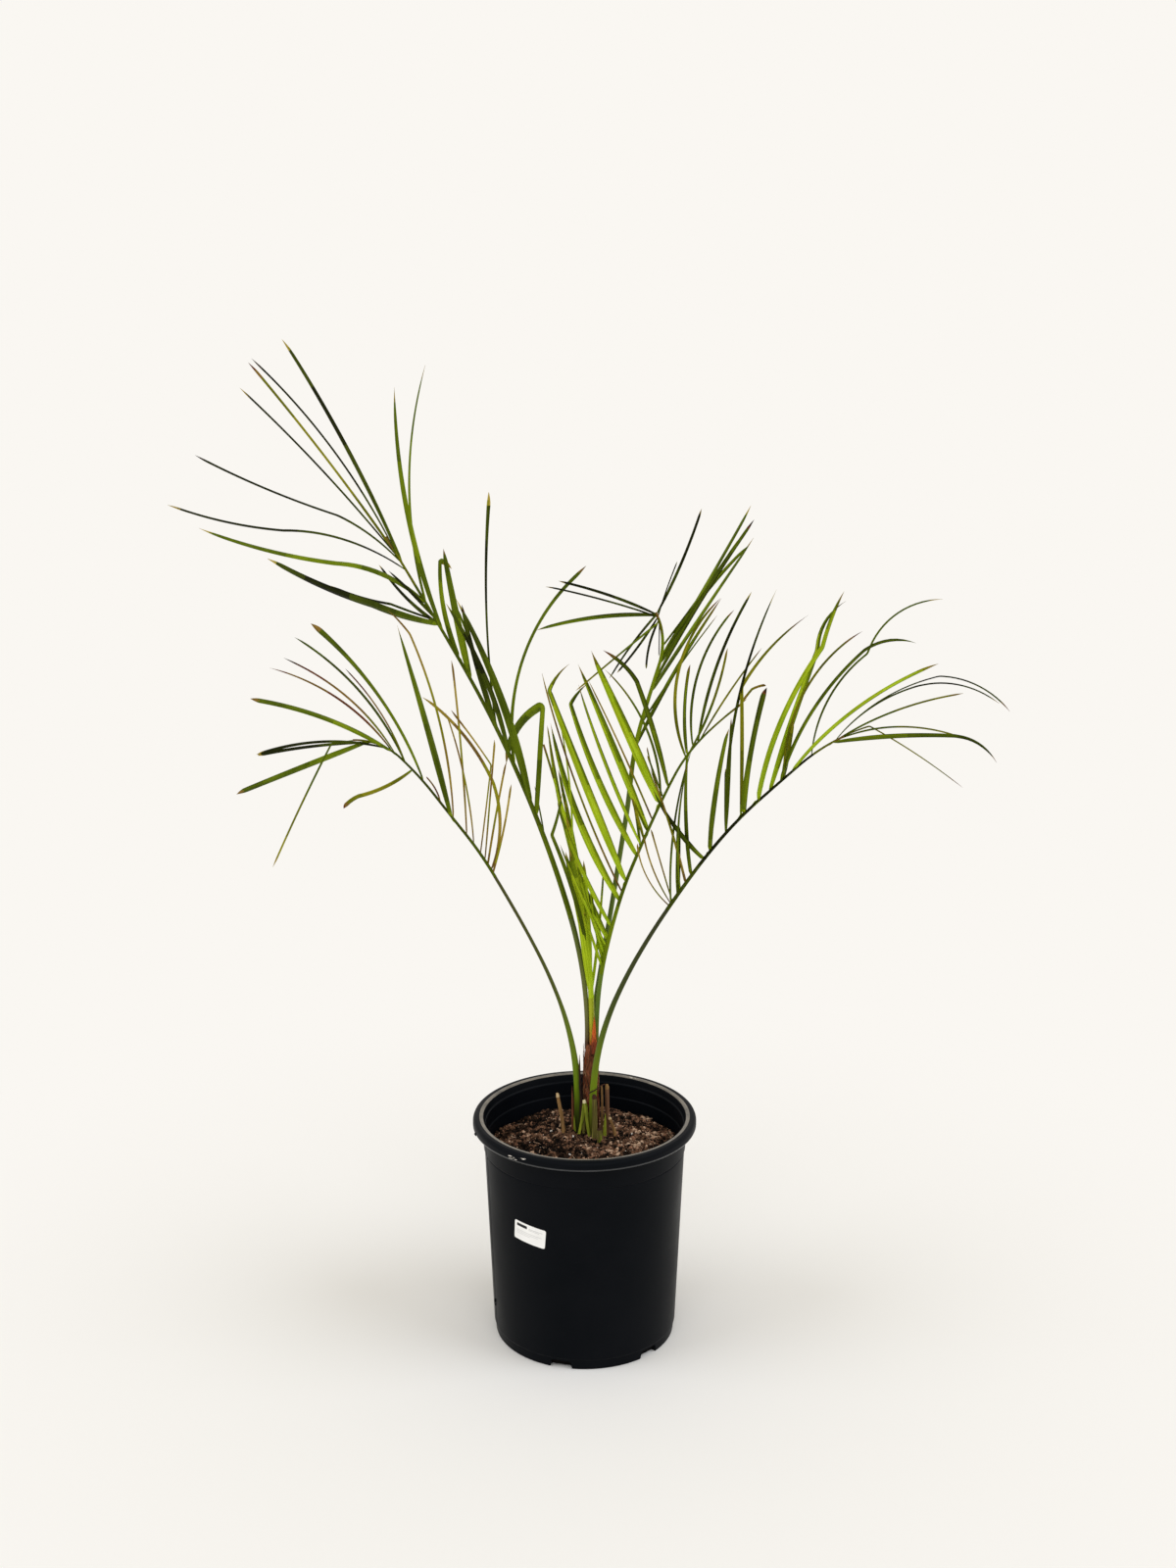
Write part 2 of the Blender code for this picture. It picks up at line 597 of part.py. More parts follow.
def build_pot(look):
    """The thin-walled pot with a rounded rim and drain notches round its foot."""
    pot = new_object("pot", revolve("pot", pot_profile(), POT_SIDES), look)
    cutters = bpy.data.collections.new("notches")
    bpy.context.scene.collection.children.link(cutters)
    for number, angle in enumerate(NOTCH_ANGLES):
        turn = Matrix.Rotation(math.radians(angle), 4, "Z")
        half = 0.5 * NOTCH_WIDTH
        top = half - 0.002
        corners = ((-half, -0.001), (half, -0.001), (top, NOTCH_HEIGHT), (-top, NOTCH_HEIGHT))
        rings = [
            [turn @ Vector((radius, across, height)) for across, height in corners]
            for radius in (BASE_RADIUS - 0.012, RIM_RADIUS)
        ]
        cutters.objects.link(bpy.data.objects.new(f"notch_{number}", loft(f"notch_{number}", rings)))
    cut = pot.modifiers.new("notches", "BOOLEAN")
    cut.operation = "DIFFERENCE"
    cut.operand_type = "COLLECTION"
    cut.collection = cutters
    cut.solver = "EXACT"
    bpy.context.view_layer.update()
    shown = pot.evaluated_get(bpy.context.evaluated_depsgraph_get())
    pot.data = bpy.data.meshes.new_from_object(shown)
    pot.modifiers.clear()
    for piece in list(cutters.objects):
        bpy.data.objects.remove(piece, do_unlink=True)
    bpy.data.collections.remove(cutters)


def build_soil(look):
    """The potting mix: it fills the pot and rises to a low level mound at the plant."""
    bottom = FLOOR + GAP
    levels = (0.0145, 0.09, 0.16, SOIL_EDGE)
    profile = [(0.0, bottom), (FOOT_RADIUS - WALL - 0.0034, bottom)]
    profile += [(inner_radius(height) - GAP, height) for height in levels]
    profile += [(0.088, 0.5 * (SOIL_EDGE + SOIL_TOP) + 0.0012), (0.062, SOIL_TOP - 0.0018)]
    profile += [(SOIL_PLATEAU, SOIL_TOP), (0.0, SOIL_TOP)]
    new_object("soil", revolve("soil", profile, SOIL_SIDES), look)


def build_label(look):
    """A thin plain label that follows the wall at the front left, stuck on slightly askew."""
    steps = 8
    tilt = math.radians(LABEL_TILT)
    clear = GAP / math.cos(math.pi / POT_SIDES)
    rings = []
    for step in range(steps + 1):
        inset = 0.0018 if step in (0, steps) else 0.0
        along = LABEL_WIDTH * (step / steps - 0.5)
        corners = []
        for rise in (inset - 0.5 * LABEL_HEIGHT, 0.5 * LABEL_HEIGHT - inset):
            height = LABEL_CENTRE + along * math.sin(tilt) + rise * math.cos(tilt)
            across = along * math.cos(tilt) - rise * math.sin(tilt)
            turn = math.radians(LABEL_ANGLE) + across / wall_radius(LABEL_CENTRE)
            way = Vector((math.cos(turn), math.sin(turn), 0))
            corners += [
                way * (wall_radius(height) + clear + proud) + Vector((0, 0, height))
                for proud in (0.0, LABEL_THICK)
            ]
        rings.append([corners[0], corners[1], corners[3], corners[2]])
    new_object("label", loft("label", rings), look, smooth=False)


def build_stub(stub, look):
    """One cut leaf base: a short rod with a slightly wider foot and a flat top."""
    slope = math.hypot(*stub.lean) / stub.height
    foot = Vector((*stub.place, SOIL_TOP + GAP + stub.radius * slope))
    top = foot + Vector((*stub.lean, stub.height))
    line = [foot.lerp(top, step / 3) for step in range(4)]
    radii = (stub.radius, stub.radius * 0.92, stub.radius * 0.78)
    if stub.tone == "dark":
        radii = (stub.radius, stub.radius, 0.0005)
    new_object(stub.name, tube(stub.name, line, radii, Vector((0, 1, 0)), 8), look)


def build_stem(look):
    """The short stem of old leaf bases that the four upper fronds stand on."""
    foot = Vector((*STEM_CENTRE, SOIL_TOP + GAP))
    top = Vector((*STEM_CENTRE, STEM_TOP))
    line = [foot.lerp(top, step / 5) for step in range(6)]
    radii = (STEM_FOOT_RADIUS, 0.92 * STEM_FOOT_RADIUS, 0.9 * STEM_FOOT_RADIUS, STEM_TOP_RADIUS)
    new_object("stem", tube("stem", line, radii, Vector((0, 1, 0)), 16), look)


def build_sheath(look):
    """The reddish pointed sheath in front of the youngest leaves."""
    base = Vector((*SHEATH_CENTRE, STEM_TOP + GAP))
    rings = []
    for step in range(4):
        t = step / 4
        half = 0.5 * SHEATH_WIDTH * (1 - t * t)
        thick = 0.5 * SHEATH_THICK * (1 - 0.4 * t)
        middle = base + Vector((0.0006 * t, -0.0012 * t, SHEATH_HEIGHT * t))
        rings.append([
            middle + Vector((half, 0, 0)), middle + Vector((0, thick, 0)),
            middle + Vector((-half, 0, 0)), middle + Vector((0, -thick, 0)),
        ])
    rings.append([base + Vector((0.0008, -0.0016, SHEATH_HEIGHT))])
    new_object("sheath", loft("sheath", rings), look, smooth=False)


def main():
    """Clear the scene and build the pot, its filling and the palm."""
    for old in list(bpy.data.objects):
        bpy.data.objects.remove(old, do_unlink=True)
    looks = {
        "pot": material("black_plastic", (0.018, 0.019, 0.021), 0.5),
        "soil": material("potting_mix", (0.045, 0.028, 0.020), 0.95),
        "label": material("white_label", (0.78, 0.79, 0.78), 0.5),
        "stem": material("brown_fibre", (0.13, 0.075, 0.045), 0.85),
        "sheath": material("red_sheath", (0.42, 0.13, 0.05), 0.6),
        "tan": material("tan_stub", (0.36, 0.25, 0.13), 0.8),
        "cream": material("cream_stub", (0.62, 0.56, 0.38), 0.7),
        "olive": material("olive_stub", (0.20, 0.19, 0.07), 0.7),
        "dark": material("dark_bract", (0.05, 0.035, 0.025), 0.8),
        "stalk": material("green_stalk", (0.17, 0.22, 0.055), 0.5),
        "blade": material("green_blade", (0.11, 0.18, 0.045), 0.5),
        "young": material("bright_blade", (0.26, 0.36, 0.07), 0.5),
    }
    build_pot(looks["pot"])
    build_soil(looks["soil"])
    build_label(looks["label"])
    build_stem(looks["stem"])
    build_sheath(looks["sheath"])
    for stub in STUBS:
        build_stub(stub, looks[stub.tone])
    for frond in FRONDS:
        build_frond(frond, looks["stalk"], looks["young" if frond in (SPEAR, FAN) else "blade"])


if __name__ == "__main__":
    main()
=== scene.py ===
"""Looks of a potted pindo palm: fine leaflets, a fibrous foot, a crumbly mix and a moulded pot.

Metres, +Z up, and -Y is the front. The crown grows by the same rule as the solids that it covers.
"""

import json
import math
import random
from dataclasses import dataclass

import bpy
import numpy as np
from mathutils import Matrix, Vector, noise

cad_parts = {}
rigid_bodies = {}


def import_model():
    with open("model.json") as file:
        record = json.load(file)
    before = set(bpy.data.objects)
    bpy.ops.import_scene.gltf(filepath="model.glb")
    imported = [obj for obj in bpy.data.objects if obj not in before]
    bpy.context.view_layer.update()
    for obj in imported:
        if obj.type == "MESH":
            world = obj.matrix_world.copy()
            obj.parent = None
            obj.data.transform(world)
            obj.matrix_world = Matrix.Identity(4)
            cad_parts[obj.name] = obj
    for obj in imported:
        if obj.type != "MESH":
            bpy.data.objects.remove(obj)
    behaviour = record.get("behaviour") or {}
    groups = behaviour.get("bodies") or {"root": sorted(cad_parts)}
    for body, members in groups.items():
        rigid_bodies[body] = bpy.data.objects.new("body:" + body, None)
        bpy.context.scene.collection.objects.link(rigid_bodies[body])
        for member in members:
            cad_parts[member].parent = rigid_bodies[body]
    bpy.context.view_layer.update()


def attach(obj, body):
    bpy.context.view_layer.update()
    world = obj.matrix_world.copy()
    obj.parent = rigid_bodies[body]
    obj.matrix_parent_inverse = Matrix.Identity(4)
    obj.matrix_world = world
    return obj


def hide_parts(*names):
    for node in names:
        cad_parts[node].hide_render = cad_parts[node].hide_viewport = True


SEED = 41

# Pot, in step with the solids
POT_HEIGHT = 0.272
BASE_RADIUS = 0.1055
FOOT_RADIUS = 0.1075
SHOULDER_RADIUS = 0.1165
RIM_RADIUS = 0.130
RIM_INNER_RADIUS = 0.1187
RIM_DROP = 0.0115
RIM_WEAR_AND_HIGHLIGHT_WIDTH = 0.0040
WALL = 0.0022
FLOOR = 0.0025
BAND_HEIGHT = 0.2335
POT_SIDES = 176
NOTCH_ANGLES = (-105, -45, 75, 135)
NOTCH_WIDTH = 0.027
NOTCH_HEIGHT = 0.010
SEAM_ANGLES = (-165, 15)

# Potting mix
SOIL_TOP = 0.2435
SOIL_EDGE = 0.229
SOIL_PLATEAU = 0.040
CRUMBS = 7600
GRAINS = 20000
FLECKS = 80
CHIPS = 300

# Label on the wall
LABEL_ANGLE = -123.5
LABEL_WIDTH = 0.0425
LABEL_HEIGHT = 0.0235
LABEL_CENTRE = 0.1665
LABEL_TILT = -5.4

# Foot of the crown
STEM_CENTRE = (0.0075, 0.0165)
STEM_FOOT_RADIUS = 0.0096
STEM_TOP_RADIUS = 0.0088
STEM_TOP = 0.352
SHEATH_CENTRE = (0.0106, 0.0085)
SHEATH_WIDTH = 0.0056
SHEATH_HEIGHT = 0.040
BURIED = 0.006
GAP = 0.0003

# Growth of the fronds, in step with the solids, and how finely it is drawn here
LEAF_STEPS = 4
LEAF_TWIST = 35.0
FRONT_RISE = 15.8
ROOT_MARGIN = 0.005
FINE_STEPS = 34
CREASE = 0.013
FOLDED_WIDTH = 0.004
JOINT = 0.012


@dataclass
class Run:
    """Leaflets that follow each other along one stretch of a rib.

    A pair of values belongs to the first and the last leaflet, and those between share out the
    difference; a single value is the same for all. Places on the rib go from 0 at the lowest leaflet
    to 1 at the tip. Lean is measured from upright, outward positive, in the frond's own upright
    plane, and spread is the angle out of that plane, positive to the left for someone looking
    outward from the stem. The taper is the share of the greatest width that is left near the tip; over
    1 the leaflet widens. The tone is its state, from bright to dry, but the dark tone is painted shade
    for leaflets that lie in shadow. A fold gives the place of a crease, its angle and how much the
    leaflet turns after it.
    """

    count: int
    at: tuple | float
    lean: tuple | float
    turn: tuple | float
    reach: tuple | float
    spread: tuple | float
    width: float
    taper: float
    tone: str
    fold: tuple = ()


@dataclass
class Frond:
    """One leaf of the palm: a stalk, and a rib that carries runs of leaflets.

    Leans are the rib's angles from upright at even distances from the foot to the tip. The last two
    radii are the rib's at the blade's start and at the tip, and those before belong to the stalk.
    """

    name: str
    foot: tuple
    heading: float
    length: float
    bare: float
    leans: tuple
    radii: tuple
    runs: list


LOW_LEFT = Frond(
    name="low_left",
    foot=(-0.0080, 0.0135, SOIL_TOP + GAP),
    heading=190,
    length=0.574,
    bare=0.590,
    leans=(-2, 2.5, 11.5, 19.5, 25, 27.5, 29, 36, 35.5, 44, 89),
    radii=(0.0050, 0.0040, 0.0024, 0.0020, 0.0019, 0.0011),
    runs=[
        Run(2, (0.00, 0.05), (-15, -9), (10, -2), (0.105, 0.121), (14, 4), 0.0030, 0.8, "dry"),
        Run(1, 0.08, -7, 0, 0.141, -14, 0.0023, 1.2, "dry"),
        Run(1, 0.02, -24, 87, 0.233, -20, 0.0042, 0.85, "dry", (0.42, 6, -19)),
        Run(1, 0.12, -6, 3, 0.181, 18, 0.0020, 1.2, "dry", (0.50, 37, 5)),
        Run(1, 0.18, 2, 15, 0.157, -10, 0.0022, 0.8, "dry"),
        Run(1, 0.24, 0, 4, 0.204, -16, 0.0027, 1.0, "dry"),
        Run(1, 0.35, 0, 24, 0.256, -14, 0.0029, 0.8, "dry", (0.79, 9, 11)),
        Run(1, 0.36, 14, 3, 0.224, 12, 0.0094, 0.22, "green"),
        Run(1, 0.45, 12, 31, 0.036, 8, 0.0024, 0.8, "brown"),
        Run(1, 0.59, 17, 30, 0.221, -10, 0.0040, 1.9, "fresh"),
        Run(1, 0.72, 19, 24, 0.126, 12, 0.0024, 0.8, "brown"),
        Run(1, 0.73, 20, 35, 0.188, -14, 0.0032, 0.8, "green"),
        Run(1, 0.79, 29, 36, 0.164, 10, 0.0029, 0.7, "brown"),
        Run(1, 0.81, 32, 40, 0.166, -10, 0.0029, 0.45, "brown"),
        Run(1, 0.81, 55, 24, 0.166, 10, 0.0065, 0.95, "fresh"),
        Run(1, 0.91, 88, 12, 0.126, -8, 0.0036, 1.3, "dark"),
        Run(1, 0.84, 73, 35, 0.144, 8, 0.0038, 1.2, "dark"),
        Run(1, 0.93, 109, 2, 0.155, -10, 0.0071, 0.9, "fresh"),
        Run(1, 1.00, 96, 2, 0.179, 8, 0.0026, 0.9, "olive", (0.12, 55, 2)),
        Run(1, 0.67, 128, -35, 0.088, -6, 0.0050, 1.2, "olive", (0.75, 10, 40)),
    ],
)

TALL_LEFT = Frond(
    name="tall_left",
    foot=(0.0028, 0.0190, STEM_TOP + GAP),
    heading=155,
    length=0.640,
    bare=0.240,
    leans=(-2, 18, 26, 34, 35),
    radii=(0.0027, 0.0033, 0.0013),
    runs=[
        Run(1, 0.19, 14, 3, 0.063, -8, 0.0030, 0.6, "olive"),
        Run(1, 0.41, 6, 26, 0.178, 12, 0.0058, 0.5, "green"),
        Run(1, 0.28, 9, 20, 0.245, 6, 0.0090, 0.3, "green"),
        Run(1, 0.25, 3, -3, 0.225, -12, 0.0120, 0.5, "fresh", (0.61, 120, 50)),
        Run(1, 0.38, 15, -62, 0.262, -10, 0.0080, 0.9, "fresh"),
        Run(1, 0.47, 16, -10, 0.145, 12, 0.0058, 0.6, "green"),
        Run(1, 0.48, 22, 8, 0.155, -12, 0.0060, 0.6, "green"),
        Run(1, 0.48, 18, -14, 0.283, -18, 0.0046, 1.9, "green"),
        Run(1, 0.67, 32, -35, 0.134, -10, 0.0120, 0.5, "fresh", (0.86, -95, -50)),
        Run(1, 0.61, 9, -4, 0.147, 10, 0.0082, 0.5, "fresh"),
        Run(2, (0.74, 0.82), (18, 25), (-26, -36), (0.268, 0.285), (12, -14), 0.0060, 0.35, "fresh"),
        Run(1, 0.76, 68, -24, 0.117, -16, 0.0076, 0.5, "dark"),
        Run(1, 0.78, 42, 9, 0.071, 10, 0.0040, 0.4, "dark"),
        Run(1, 0.82, 49, 109, 0.282, 10, 0.0066, 0.5, "green", (0.40, -4, -80)),
        Run(1, 0.76, 86, -31, 0.260, -8, 0.0104, 0.6, "green", (0.40, 6, 7)),
        Run(1, 0.77, 79, -4, 0.173, -16, 0.0036, 0.6, "dark", (0.40, 10, -11)),
        Run(2, (0.94, 0.95), (39, 26), (10, 25), (0.247, 0.271), (12, 6), 0.0023, 1.0, "dark"),
        Run(1, 0.91, 64, 59, 0.381, -10, 0.0033, 1.0, "dark", (0.45, 0, -46)),
        Run(1, 0.93, 44, 77, 0.267, 10, 0.0028, 1.0, "dark", (0.35, 6, -60)),
        Run(1, 0.93, 33, 10, 0.330, -14, 0.0076, 0.8, "green"),
        Run(1, 0.93, 43, 6, 0.327, -10, 0.0056, 0.9, "olive"),
    ],
)

SPEAR = Frond(
    name="spear",
    foot=(0.0087, 0.0172, STEM_TOP + GAP),
    heading=150,
    length=0.360,
    bare=0.160,
    leans=(0, 4, 9, 18, 20),
    radii=(0.0030, 0.0034, 0.0012),
    runs=[
        Run(6, (0.00, 0.53), (3, 16), (7, 0), (0.175, 0.110), (5, -6), 0.0104, 0.4, "bright"),
        Run(3, (0.00, 0.12), (-3, 7), (4, 2), (0.150, 0.135), (-9, 9), 0.0070, 0.5, "bright"),
        Run(1, 0.15, 2, 24, 0.205, 14, 0.0050, 0.4, "green", (0.72, -48, 6)),
        Run(1, 0.45, 26, -16, 0.185, -8, 0.0076, 0.5, "bright"),
        Run(2, (0.71, 0.75), (22, 9), (-6, -4), (0.080, 0.096), (-8, 8), 0.0025, 0.6, "olive"),
        Run(1, 0.60, -4, 14, 0.150, 6, 0.0023, 0.4, "bright"),
    ],
)

FAN = Frond(
    name="fan",
    foot=(0.0139, 0.0122, STEM_TOP + GAP),
    heading=-10,
    length=0.458,
    bare=0.196,
    leans=(-1, 4.5, 12, 15.5, 21.5, 23, 26, 42.5, 52),
    radii=(0.0027, 0.0026, 0.0010),
    runs=[
        Run(1, 0.01, -16, 2, 0.070, -16, 0.0056, 0.4, "bright"),
        Run(1, 0.05, -17, -8, 0.124, 14, 0.0056, 0.4, "bright"),
        Run(3, (0.02, 0.08), (-14, -25), 6, (0.096, 0.130), (10, -12), 0.0050, 0.4, "bright"),
        Run(2, (0.10, 0.15), (-31, -29), (11, 14), (0.126, 0.157), (18, -8), 0.0080, 0.4, "bright"),
        Run(1, 0.24, -34, 21, 0.226, 14, 0.0092, 0.25, "bright"),
        Run(1, 0.31, -21, 3, 0.268, -12, 0.0118, 0.3, "bright", (0.80, 30, 40)),
        Run(1, 0.40, -33, 16, 0.228, 16, 0.0088, 0.35, "bright", (0.88, 46, 22)),
        Run(1, 0.27, -22, 12, 0.257, -22, 0.0028, 0.6, "dry"),
        Run(1, 0.53, -19, -5, 0.167, -22, 0.0026, 0.5, "dry"),
        Run(3, (0.43, 0.49), (-8, -22), (-7, 0), (0.059, 0.042), (16, -16), 0.0037, 0.4, "olive"),
        Run(1, 0.44, -25, 9, 0.194, -6, 0.0054, 0.4, "bright"),
        Run(1, 0.49, -24, -1, 0.210, 12, 0.0094, 0.3, "bright"),
        Run(1, 0.59, -23, -1, 0.185, -8, 0.0130, 0.35, "bright"),
        Run(1, 0.59, -1, -48, 0.174, 16, 0.0033, 0.5, "olive"),
        Run(2, (0.60, 0.61), (-18, -22), (8, 0), (0.063, 0.052), (-10, 10), 0.0026, 0.9, "olive"),
        Run(1, 0.65, -11, -11, 0.171, -14, 0.0072, 0.6, "green", (0.70, -9, -35)),
        Run(1, 0.76, -25, 68, 0.199, 16, 0.0046, 0.5, "olive"),
        Run(1, 0.77, -7, 19, 0.102, -12, 0.0060, 0.7, "olive"),
        Run(2, (0.80, 0.82), (-8, 5), (50, 22), (0.165, 0.185), (-14, 18), 0.0041, 0.75, "green"),
        Run(1, 0.78, 31, -20, 0.126, -18, 0.0036, 0.9, "olive"),
        Run(1, 0.83, 26, 9, 0.126, 12, 0.0024, 0.6, "olive"),
        Run(1, 0.86, 42, 8, 0.060, 10, 0.0020, 0.6, "olive"),
        Run(1, 1.00, 33, 10, 0.038, -8, 0.0034, 0.9, "dry", (0.50, 17, 23)),
    ],
)

TALL_RIGHT = Frond(
    name="tall_right",
    foot=(0.0078, 0.0236, STEM_TOP + GAP),
    heading=40,
    length=0.512,
    bare=0.598,
    leans=(4, 12, 13, 11.5, 12, 7, 22, 23.5, -34),
    radii=(0.0028, 0.0030, 0.0017),
    runs=[
        Run(2, (0.20, 0.33), (29, 48), (13, 8), (0.193, 0.179), (-6, 8), 0.0047, 0.4, "olive"),
        Run(1, 0.57, 31, 10, 0.215, -8, 0.0044, 0.8, "green"),
        Run(1, 0.53, 49, 3, 0.250, 8, 0.0100, 0.35, "fresh"),
        Run(1, 0.70, 44, -2, 0.228, 4, 0.0104, 0.5, "green"),
        Run(2, (0.73, 0.80), (34, 54), (21, -4), (0.162, 0.176), (-8, 8), 0.0048, 0.6, "green"),
        Run(2, (1.00, 0.98), (35, 26), (-15, 9), (0.128, 0.070), (-4, 6), 0.0034, 0.8, "dark"),
        Run(2, (1.00, 0.98), (-66, -68), (-9, -6), 0.167, (-6, 2), 0.0037, 0.7, "dark"),
        Run(1, 0.99, -79, -18, 0.158, 8, 0.0064, 0.45, "green"),
        Run(1, 0.95, -111, -2, 0.158, -10, 0.0048, 0.6, "olive"),
        Run(1, 1.00, -121, -15, 0.101, -6, 0.0056, 0.55, "dark"),
        Run(2, (0.98, 0.96), (-143, -149), (13, -38), (0.078, 0.057), (6, 8), 0.0028, 0.8, "dark"),
        Run(1, 0.95, -172, 0, 0.040, -8, 0.0031, 0.7, "dark"),
    ],
)

LOW_RIGHT = Frond(
    name="low_right",
    foot=(0.0096, 0.0016, SOIL_TOP + GAP),
    heading=-25,
    length=0.612,
    bare=0.511,
    leans=(-2, 3.5, 14.5, 23.5, 28.5, 32, 34, 38.5, 45, 45.5, 59.5),
    radii=(0.0047, 0.0040, 0.0033, 0.0027, 0.0023, 0.0011),
    runs=[
        Run(3, (0.00, 0.02), (-51, -23), (50, 1), (0.079, 0.087), (-10, 10), 0.0018, 1.2, "dry"),
        Run(1, 0.01, -1, 20, 0.182, -5, 0.0043, 0.45, "green"),
        Run(1, 0.08, -1, 19, 0.150, -14, 0.0041, 0.4, "green"),
        Run(1, 0.06, -5, 0, 0.080, 12, 0.0054, 0.85, "green"),
        Run(1, 0.39, -6, 0, 0.073, 12, 0.0036, 0.6, "green"),
        Run(1, 0.12, -10, -10, 0.131, -10, 0.0036, 0.35, "dry"),
        Run(1, 0.16, -5, 13, 0.157, -8, 0.0086, 0.25, "green", (0.85, 18, 10)),
        Run(1, 0.25, -48, 23, 0.090, -12, 0.0092, 0.2, "green"),
        Run(1, 0.39, -2, -2, 0.130, 12, 0.0038, 0.6, "green"),
        Run(1, 0.29, 8, 9, 0.145, -12, 0.0108, 0.5, "green"),
        Run(1, 0.39, -7, 28, 0.281, 10, 0.0036, 0.4, "green"),
        Run(1, 0.50, 8, 11, 0.147, -12, 0.0132, 0.75, "green"),
        Run(1, 0.48, -4, -5, 0.255, 12, 0.0044, 0.3, "olive", (0.60, 33, 26)),
        Run(1, 0.58, 13, 31, 0.257, -10, 0.0116, 0.45, "bright", (0.70, -21, 5)),
        Run(1, 0.72, 1, 56, 0.197, -10, 0.0050, 0.5, "olive"),
        Run(1, 0.64, 11, 6, 0.229, 12, 0.0070, 0.25, "bright", (0.75, -14, 51)),
        Run(1, 0.71, 4, 0, 0.066, 14, 0.0060, 0.5, "olive"),
        Run(1, 0.70, 19, 38, 0.241, -10, 0.0074, 0.4, "green", (0.72, 0, 45)),
        Run(1, 0.76, 38, 27, 0.213, -10, 0.0066, 0.6, "bright"),
        Run(1, 0.86, 0, 84, 0.235, 10, 0.0025, 0.7, "green", (0.60, -31, 31)),
        Run(1, 0.97, 38, 55, 0.227, -8, 0.0019, 0.9, "green", (0.60, 11, 32)),
        Run(1, 0.97, 33, 63, 0.196, 8, 0.0019, 0.9, "green", (0.60, 3, 26)),
        Run(2, (0.97, 0.98), (51, 60), (24, 44), (0.145, 0.129), 10, 0.0023, 0.9, "olive"),
        Run(1, 0.96, 75, 16, 0.186, 0, 0.0060, 0.4, "green", (0.75, 7, 51)),
        Run(1, 0.98, 53, 55, 0.147, 14, 0.0021, 0.5, "olive", (0.30, 46, -28)),
    ],
)

FRONDS = (LOW_LEFT, TALL_LEFT, SPEAR, FAN, TALL_RIGHT, LOW_RIGHT)


def share(value, index, count):
    """What leaflet number index of a run gets from a pair of end values, or from one value for all."""
    if not isinstance(value, tuple):
        return value
    return value[0] + (value[1] - value[0]) * index / (count - 1)


def blend(stations, t):
    """The value at fraction t of a list of values spaced evenly."""
    place = min(max(t, 0.0), 1.0) * (len(stations) - 1)
    low = min(int(place), len(stations) - 2)
    return stations[low] + (stations[low + 1] - stations[low]) * (place - low)


def plane_axes(frond):
    """The frond's outward direction and its sideways one, which is tipped so that the front rises."""
    heading = math.radians(frond.heading)
    outward = Vector((math.cos(heading), math.sin(heading), 0.0))
    sideways = Vector((-math.sin(heading), math.cos(heading), 0.0))
    sideways.z = -math.tan(math.radians(FRONT_RISE)) * sideways.y
    return outward, sideways


def rib_point(frond, t, steps=120):
    """The rib's centre at fraction t of its whole length, added up from short leaning steps."""
    outward, _ = plane_axes(frond)
    point = Vector(frond.foot)
    step = frond.length * t / steps
    for index in range(steps):
        lean = math.radians(blend(frond.leans, t * (index + 0.5) / steps))
        point += outward * math.sin(lean) * step + Vector((0, 0, math.cos(lean) * step))
    return point


def blade_place(frond, at):
    """The fraction of the whole rib where a leaflet grows, a little clear of the blade's ends."""
    first = frond.bare + ROOT_MARGIN / frond.length
    last = 1.0 - 0.4 * ROOT_MARGIN / frond.length
    return first + (last - first) * at


def leaf_path(frond, run, index):
    """A leaflet's centre line by the rule of the solids at a finer step, with its crease rounded.

    A short joint runs down the rib before it.
    """
    outward, sideways = plane_axes(frond)
    at, lean, turn, reach, spread = (
        share(value, index, run.count)
        for value in (run.at, run.lean, run.turn, run.reach, run.spread)
    )
    bend_at, bend, after = run.fold or (2.0, 0.0, 0.0)
    coarse = LEAF_STEPS + int(abs(turn) / 30) + (3 if run.fold else 0)
    crease = (math.floor(bend_at * coarse - 0.5) + 1) / coarse
    places = set(np.linspace(0.0, 1.0, FINE_STEPS + 1).round(5))
    if run.fold:
        places |= {round(crease + CREASE * step / 3, 5) for step in range(-3, 4)}
    places = sorted(places | {0.955, 0.965, 0.98, 0.99})
    joint = blade_place(frond, at)
    point = rib_point(frond, joint)
    line = [
        rib_point(frond, max(joint - JOINT * back / 3 / frond.length, frond.bare + 0.001))
        for back in (3, 2, 1)
    ]
    line.append(point.copy())
    for before, here in zip(places, places[1:]):
        s = 0.5 * (before + here)
        angle = lean + turn * s
        if run.fold and s > crease - CREASE:
            ease = min((s - crease + CREASE) / (2 * CREASE), 1.0)
            angle += bend * ease * ease * (3 - 2 * ease)
            if s > crease:
                angle += after * max(s - bend_at, 0.0) / (1 - bend_at)
        angle = math.radians(angle)
        way = outward * math.sin(angle) + Vector((0, 0, math.cos(angle)))
        way += sideways * math.tan(math.radians(spread))
        point = point + way * reach * (here - before)
        line.append(point)
    return line, [-0.06, -0.04, -0.02] + places, math.copysign(1.0, spread)


def linear(colour):
    """Linear light from a colour given in display steps of 0 to 255."""
    steps = [value / 255 for value in colour]
    return tuple(v / 12.92 if v < 0.04045 else ((v + 0.055) / 1.055) ** 2.4 for v in steps)


